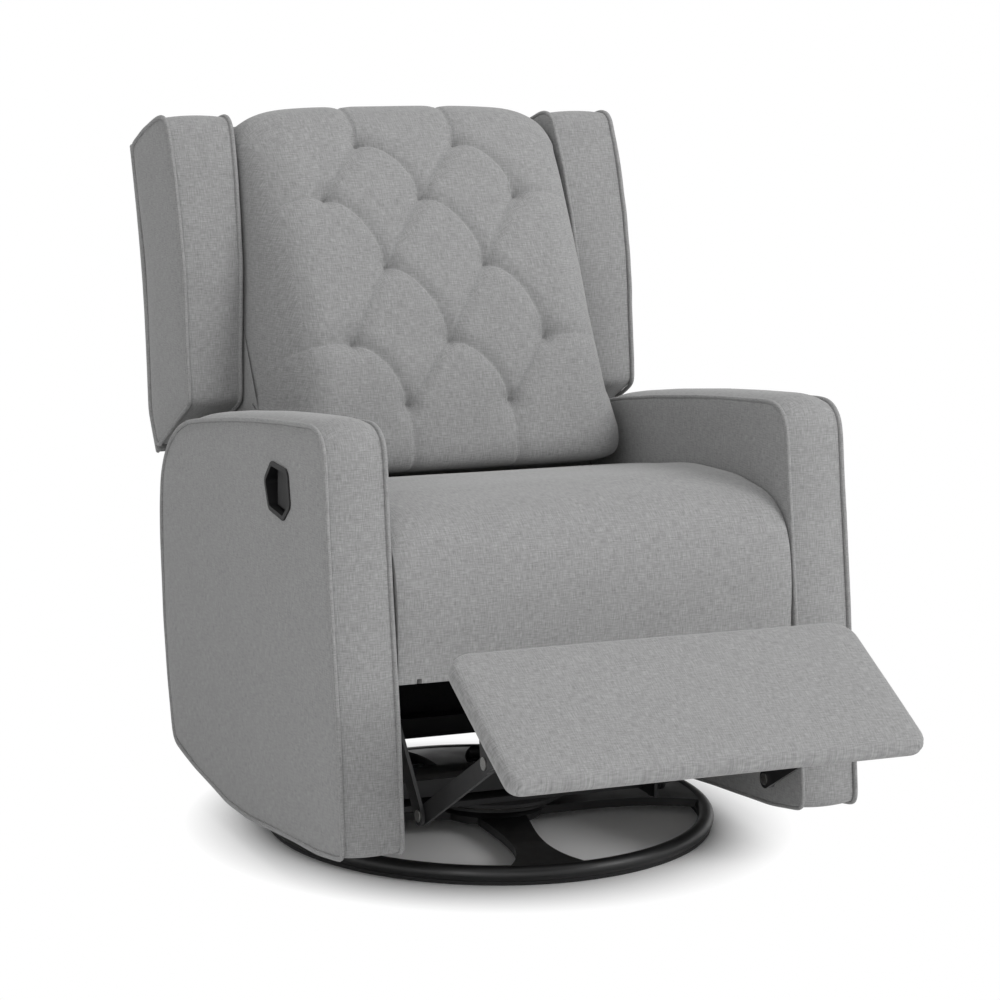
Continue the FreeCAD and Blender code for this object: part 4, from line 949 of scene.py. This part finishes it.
def studio_floor():
    """A white floor that shows the chair's shadow near it and is plain white further out."""
    flat, tree, shader = new_material("painted_studio_floor", linear(colours().floor), 0.8)
    out = tree.nodes["Material Output"]
    ray = add_node(tree, "ShaderNodeLightPath")
    place = add_node(tree, "ShaderNodeTexCoord")
    reach = add_node(tree, "ShaderNodeVectorMath", {"operation": "LENGTH"}, i0=place.outputs["Object"])
    far = add_node(tree, "ShaderNodeMapRange", i0=reach.outputs["Value"],
                   i1=SHADOW_FADE[0], i2=SHADOW_FADE[1], i3=0.0, i4=1.0)
    seen = add_node(tree, "ShaderNodeMath", {"operation": "MULTIPLY"},
                    i0=far.outputs[0], i1=ray.outputs["Is Camera Ray"])
    white = add_node(tree, "ShaderNodeEmission", Color=(1, 1, 1, 1), Strength=1.0)
    mix = add_node(tree, "ShaderNodeMixShader", i0=seen.outputs[0], i1=shader.outputs[0], i2=white.outputs[0])
    tree.links.new(mix.outputs[0], out.inputs["Surface"])
    around = np.linspace(0, math.tau, FLOOR_SIDES, endpoint=False)
    verts = [(0.0, 0.0, -FLOOR_DROP)]
    for radius in FLOOR_RADII:
        verts += [(radius * math.cos(a), radius * math.sin(a), -FLOOR_DROP) for a in around]
    inner = [1 + k for k in range(FLOOR_SIDES)]
    beside = inner[1:] + inner[:1]
    faces = [(0, a, b) for a, b in zip(inner, beside)]
    faces += [(a, a + FLOOR_SIDES, b + FLOOR_SIDES, b) for a, b in zip(inner, beside)]
    mesh = bpy.data.meshes.new("studio_floor")
    mesh.from_pydata(verts, [], faces)
    mesh.materials.append(flat)
    obj = bpy.data.objects.new("studio_floor", mesh)
    bpy.context.scene.collection.objects.link(obj)


def studio_world():
    """Soft even light, and plain white wherever the camera, a reflection or a see-through piece looks."""
    world = bpy.data.worlds.new("studio_world")
    bpy.context.scene.world = world
    world.use_nodes = True
    tree = world.node_tree
    tree.nodes.clear()
    ray = add_node(tree, "ShaderNodeLightPath")
    seen = ray.outputs["Is Camera Ray"]
    for kind in ("Is Glossy Ray", "Is Transmission Ray"):
        either = add_node(tree, "ShaderNodeMath", {"operation": "MAXIMUM"}, i0=seen, i1=ray.outputs[kind])
        seen = either.outputs[0]
    soft = add_node(tree, "ShaderNodeBackground", Color=(1, 1, 1, 1), Strength=AMBIENT)
    white = add_node(tree, "ShaderNodeBackground", Color=(1, 1, 1, 1), Strength=1.0)
    mix = add_node(tree, "ShaderNodeMixShader", i0=seen, i1=soft.outputs[0], i2=white.outputs[0])
    add_node(tree, "ShaderNodeOutputWorld", Surface=mix.outputs[0])


def studio_camera():
    """The camera where the photo was taken from: place, turn, tilt, roll and lens from the fit."""
    data = bpy.data.cameras.new("photo_camera")
    data.sensor_width = 36.0
    data.lens = CAMERA_LENS
    data.shift_x = CAMERA_SHIFT
    data.clip_end = 60
    obj = bpy.data.objects.new("photo_camera", data)
    yaw, pitch, roll = CAMERA_YAW, CAMERA_PITCH, CAMERA_ROLL
    ahead = Vector((math.sin(yaw) * math.cos(pitch), math.cos(yaw) * math.cos(pitch), -math.sin(pitch)))
    right = Vector((math.cos(yaw), -math.sin(yaw), 0))
    up = right.cross(ahead)
    side = right * math.cos(roll) + up * math.sin(roll)
    top = -right * math.sin(roll) + up * math.cos(roll)
    turn = Matrix((side, top, -ahead)).transposed()
    obj.matrix_world = Matrix.Translation(CAMERA_PLACE) @ turn.to_4x4()
    bpy.context.scene.collection.objects.link(obj)
    bpy.context.scene.camera = obj


class RECLINER_OT_arms(bpy.types.Operator):
    """Covers both arms and pipes their seams"""
    bl_idname = "recliner.arms"
    bl_label = "Arms"

    def execute(self, context):
        build_arm(1)
        build_arm(-1)
        return {"FINISHED"}


class RECLINER_OT_wings(bpy.types.Operator):
    """Covers both wings and pipes their seams"""
    bl_idname = "recliner.wings"
    bl_label = "Wings"

    def execute(self, context):
        build_wing(1)
        build_wing(-1)
        return {"FINISHED"}


class RECLINER_OT_back_cushion(bpy.types.Operator):
    """Makes the tufted back cushion"""
    bl_idname = "recliner.back_cushion"
    bl_label = "Back cushion"

    def execute(self, context):
        build_back_cushion()
        return {"FINISHED"}


class RECLINER_OT_seat_cushion(bpy.types.Operator):
    """Makes the seat cushion"""
    bl_idname = "recliner.seat_cushion"
    bl_label = "Seat cushion"

    def execute(self, context):
        build_seat_cushion()
        return {"FINISHED"}


class RECLINER_OT_footrest(bpy.types.Operator):
    """Makes the footrest pad"""
    bl_idname = "recliner.footrest"
    bl_label = "Footrest pad"

    def execute(self, context):
        build_footrest()
        return {"FINISHED"}


class RECLINER_OT_rear(bpy.types.Operator):
    """Makes the covers behind and above the back"""
    bl_idname = "recliner.rear"
    bl_label = "Rear covers"

    def execute(self, context):
        build_rear_covers()
        build_strips()
        return {"FINISHED"}


class RECLINER_OT_finishes(bpy.types.Operator):
    """Gives the mechanism, base and handle their finishes"""
    bl_idname = "recliner.finishes"
    bl_label = "Frame finishes"

    def execute(self, context):
        dress_frame()
        return {"FINISHED"}


class RECLINER_OT_studio(bpy.types.Operator):
    """Sets up the floor, lights, world and camera"""
    bl_idname = "recliner.studio"
    bl_label = "Studio"

    def execute(self, context):
        studio_floor()
        studio_world()
        for light in LIGHTS:
            add_area(*light)
        studio_camera()
        context.scene.view_settings.view_transform = "Standard"
        return {"FINISHED"}


class RECLINER_PT_panel(bpy.types.Panel):
    bl_label = "Recliner"
    bl_idname = "RECLINER_PT_panel"
    bl_space_type = "VIEW_3D"
    bl_region_type = "UI"
    bl_category = "Recliner"

    def draw(self, context):
        scene = context.scene
        for group in (scene.recliner_sizes, scene.recliner_colours):
            for key in group.__annotations__:
                self.layout.prop(group, key)
        for step in STEPS:
            self.layout.operator(step.bl_idname)


STEPS = (RECLINER_OT_arms, RECLINER_OT_wings, RECLINER_OT_back_cushion, RECLINER_OT_seat_cushion,
         RECLINER_OT_footrest, RECLINER_OT_rear, RECLINER_OT_finishes, RECLINER_OT_studio)
CLASSES = (ReclinerSizes, ReclinerColours, *STEPS, RECLINER_PT_panel)


def register():
    for item in CLASSES:
        bpy.utils.register_class(item)
    bpy.types.Scene.recliner_sizes = bpy.props.PointerProperty(type=ReclinerSizes)
    bpy.types.Scene.recliner_colours = bpy.props.PointerProperty(type=ReclinerColours)


def unregister():
    del bpy.types.Scene.recliner_colours
    del bpy.types.Scene.recliner_sizes
    for item in reversed(CLASSES):
        bpy.utils.unregister_class(item)


def main():
    register()
    for step in STEPS:
        group, name = step.bl_idname.split(".")
        getattr(getattr(bpy.ops, group), name)()


if __name__ == "__main__":
    main()
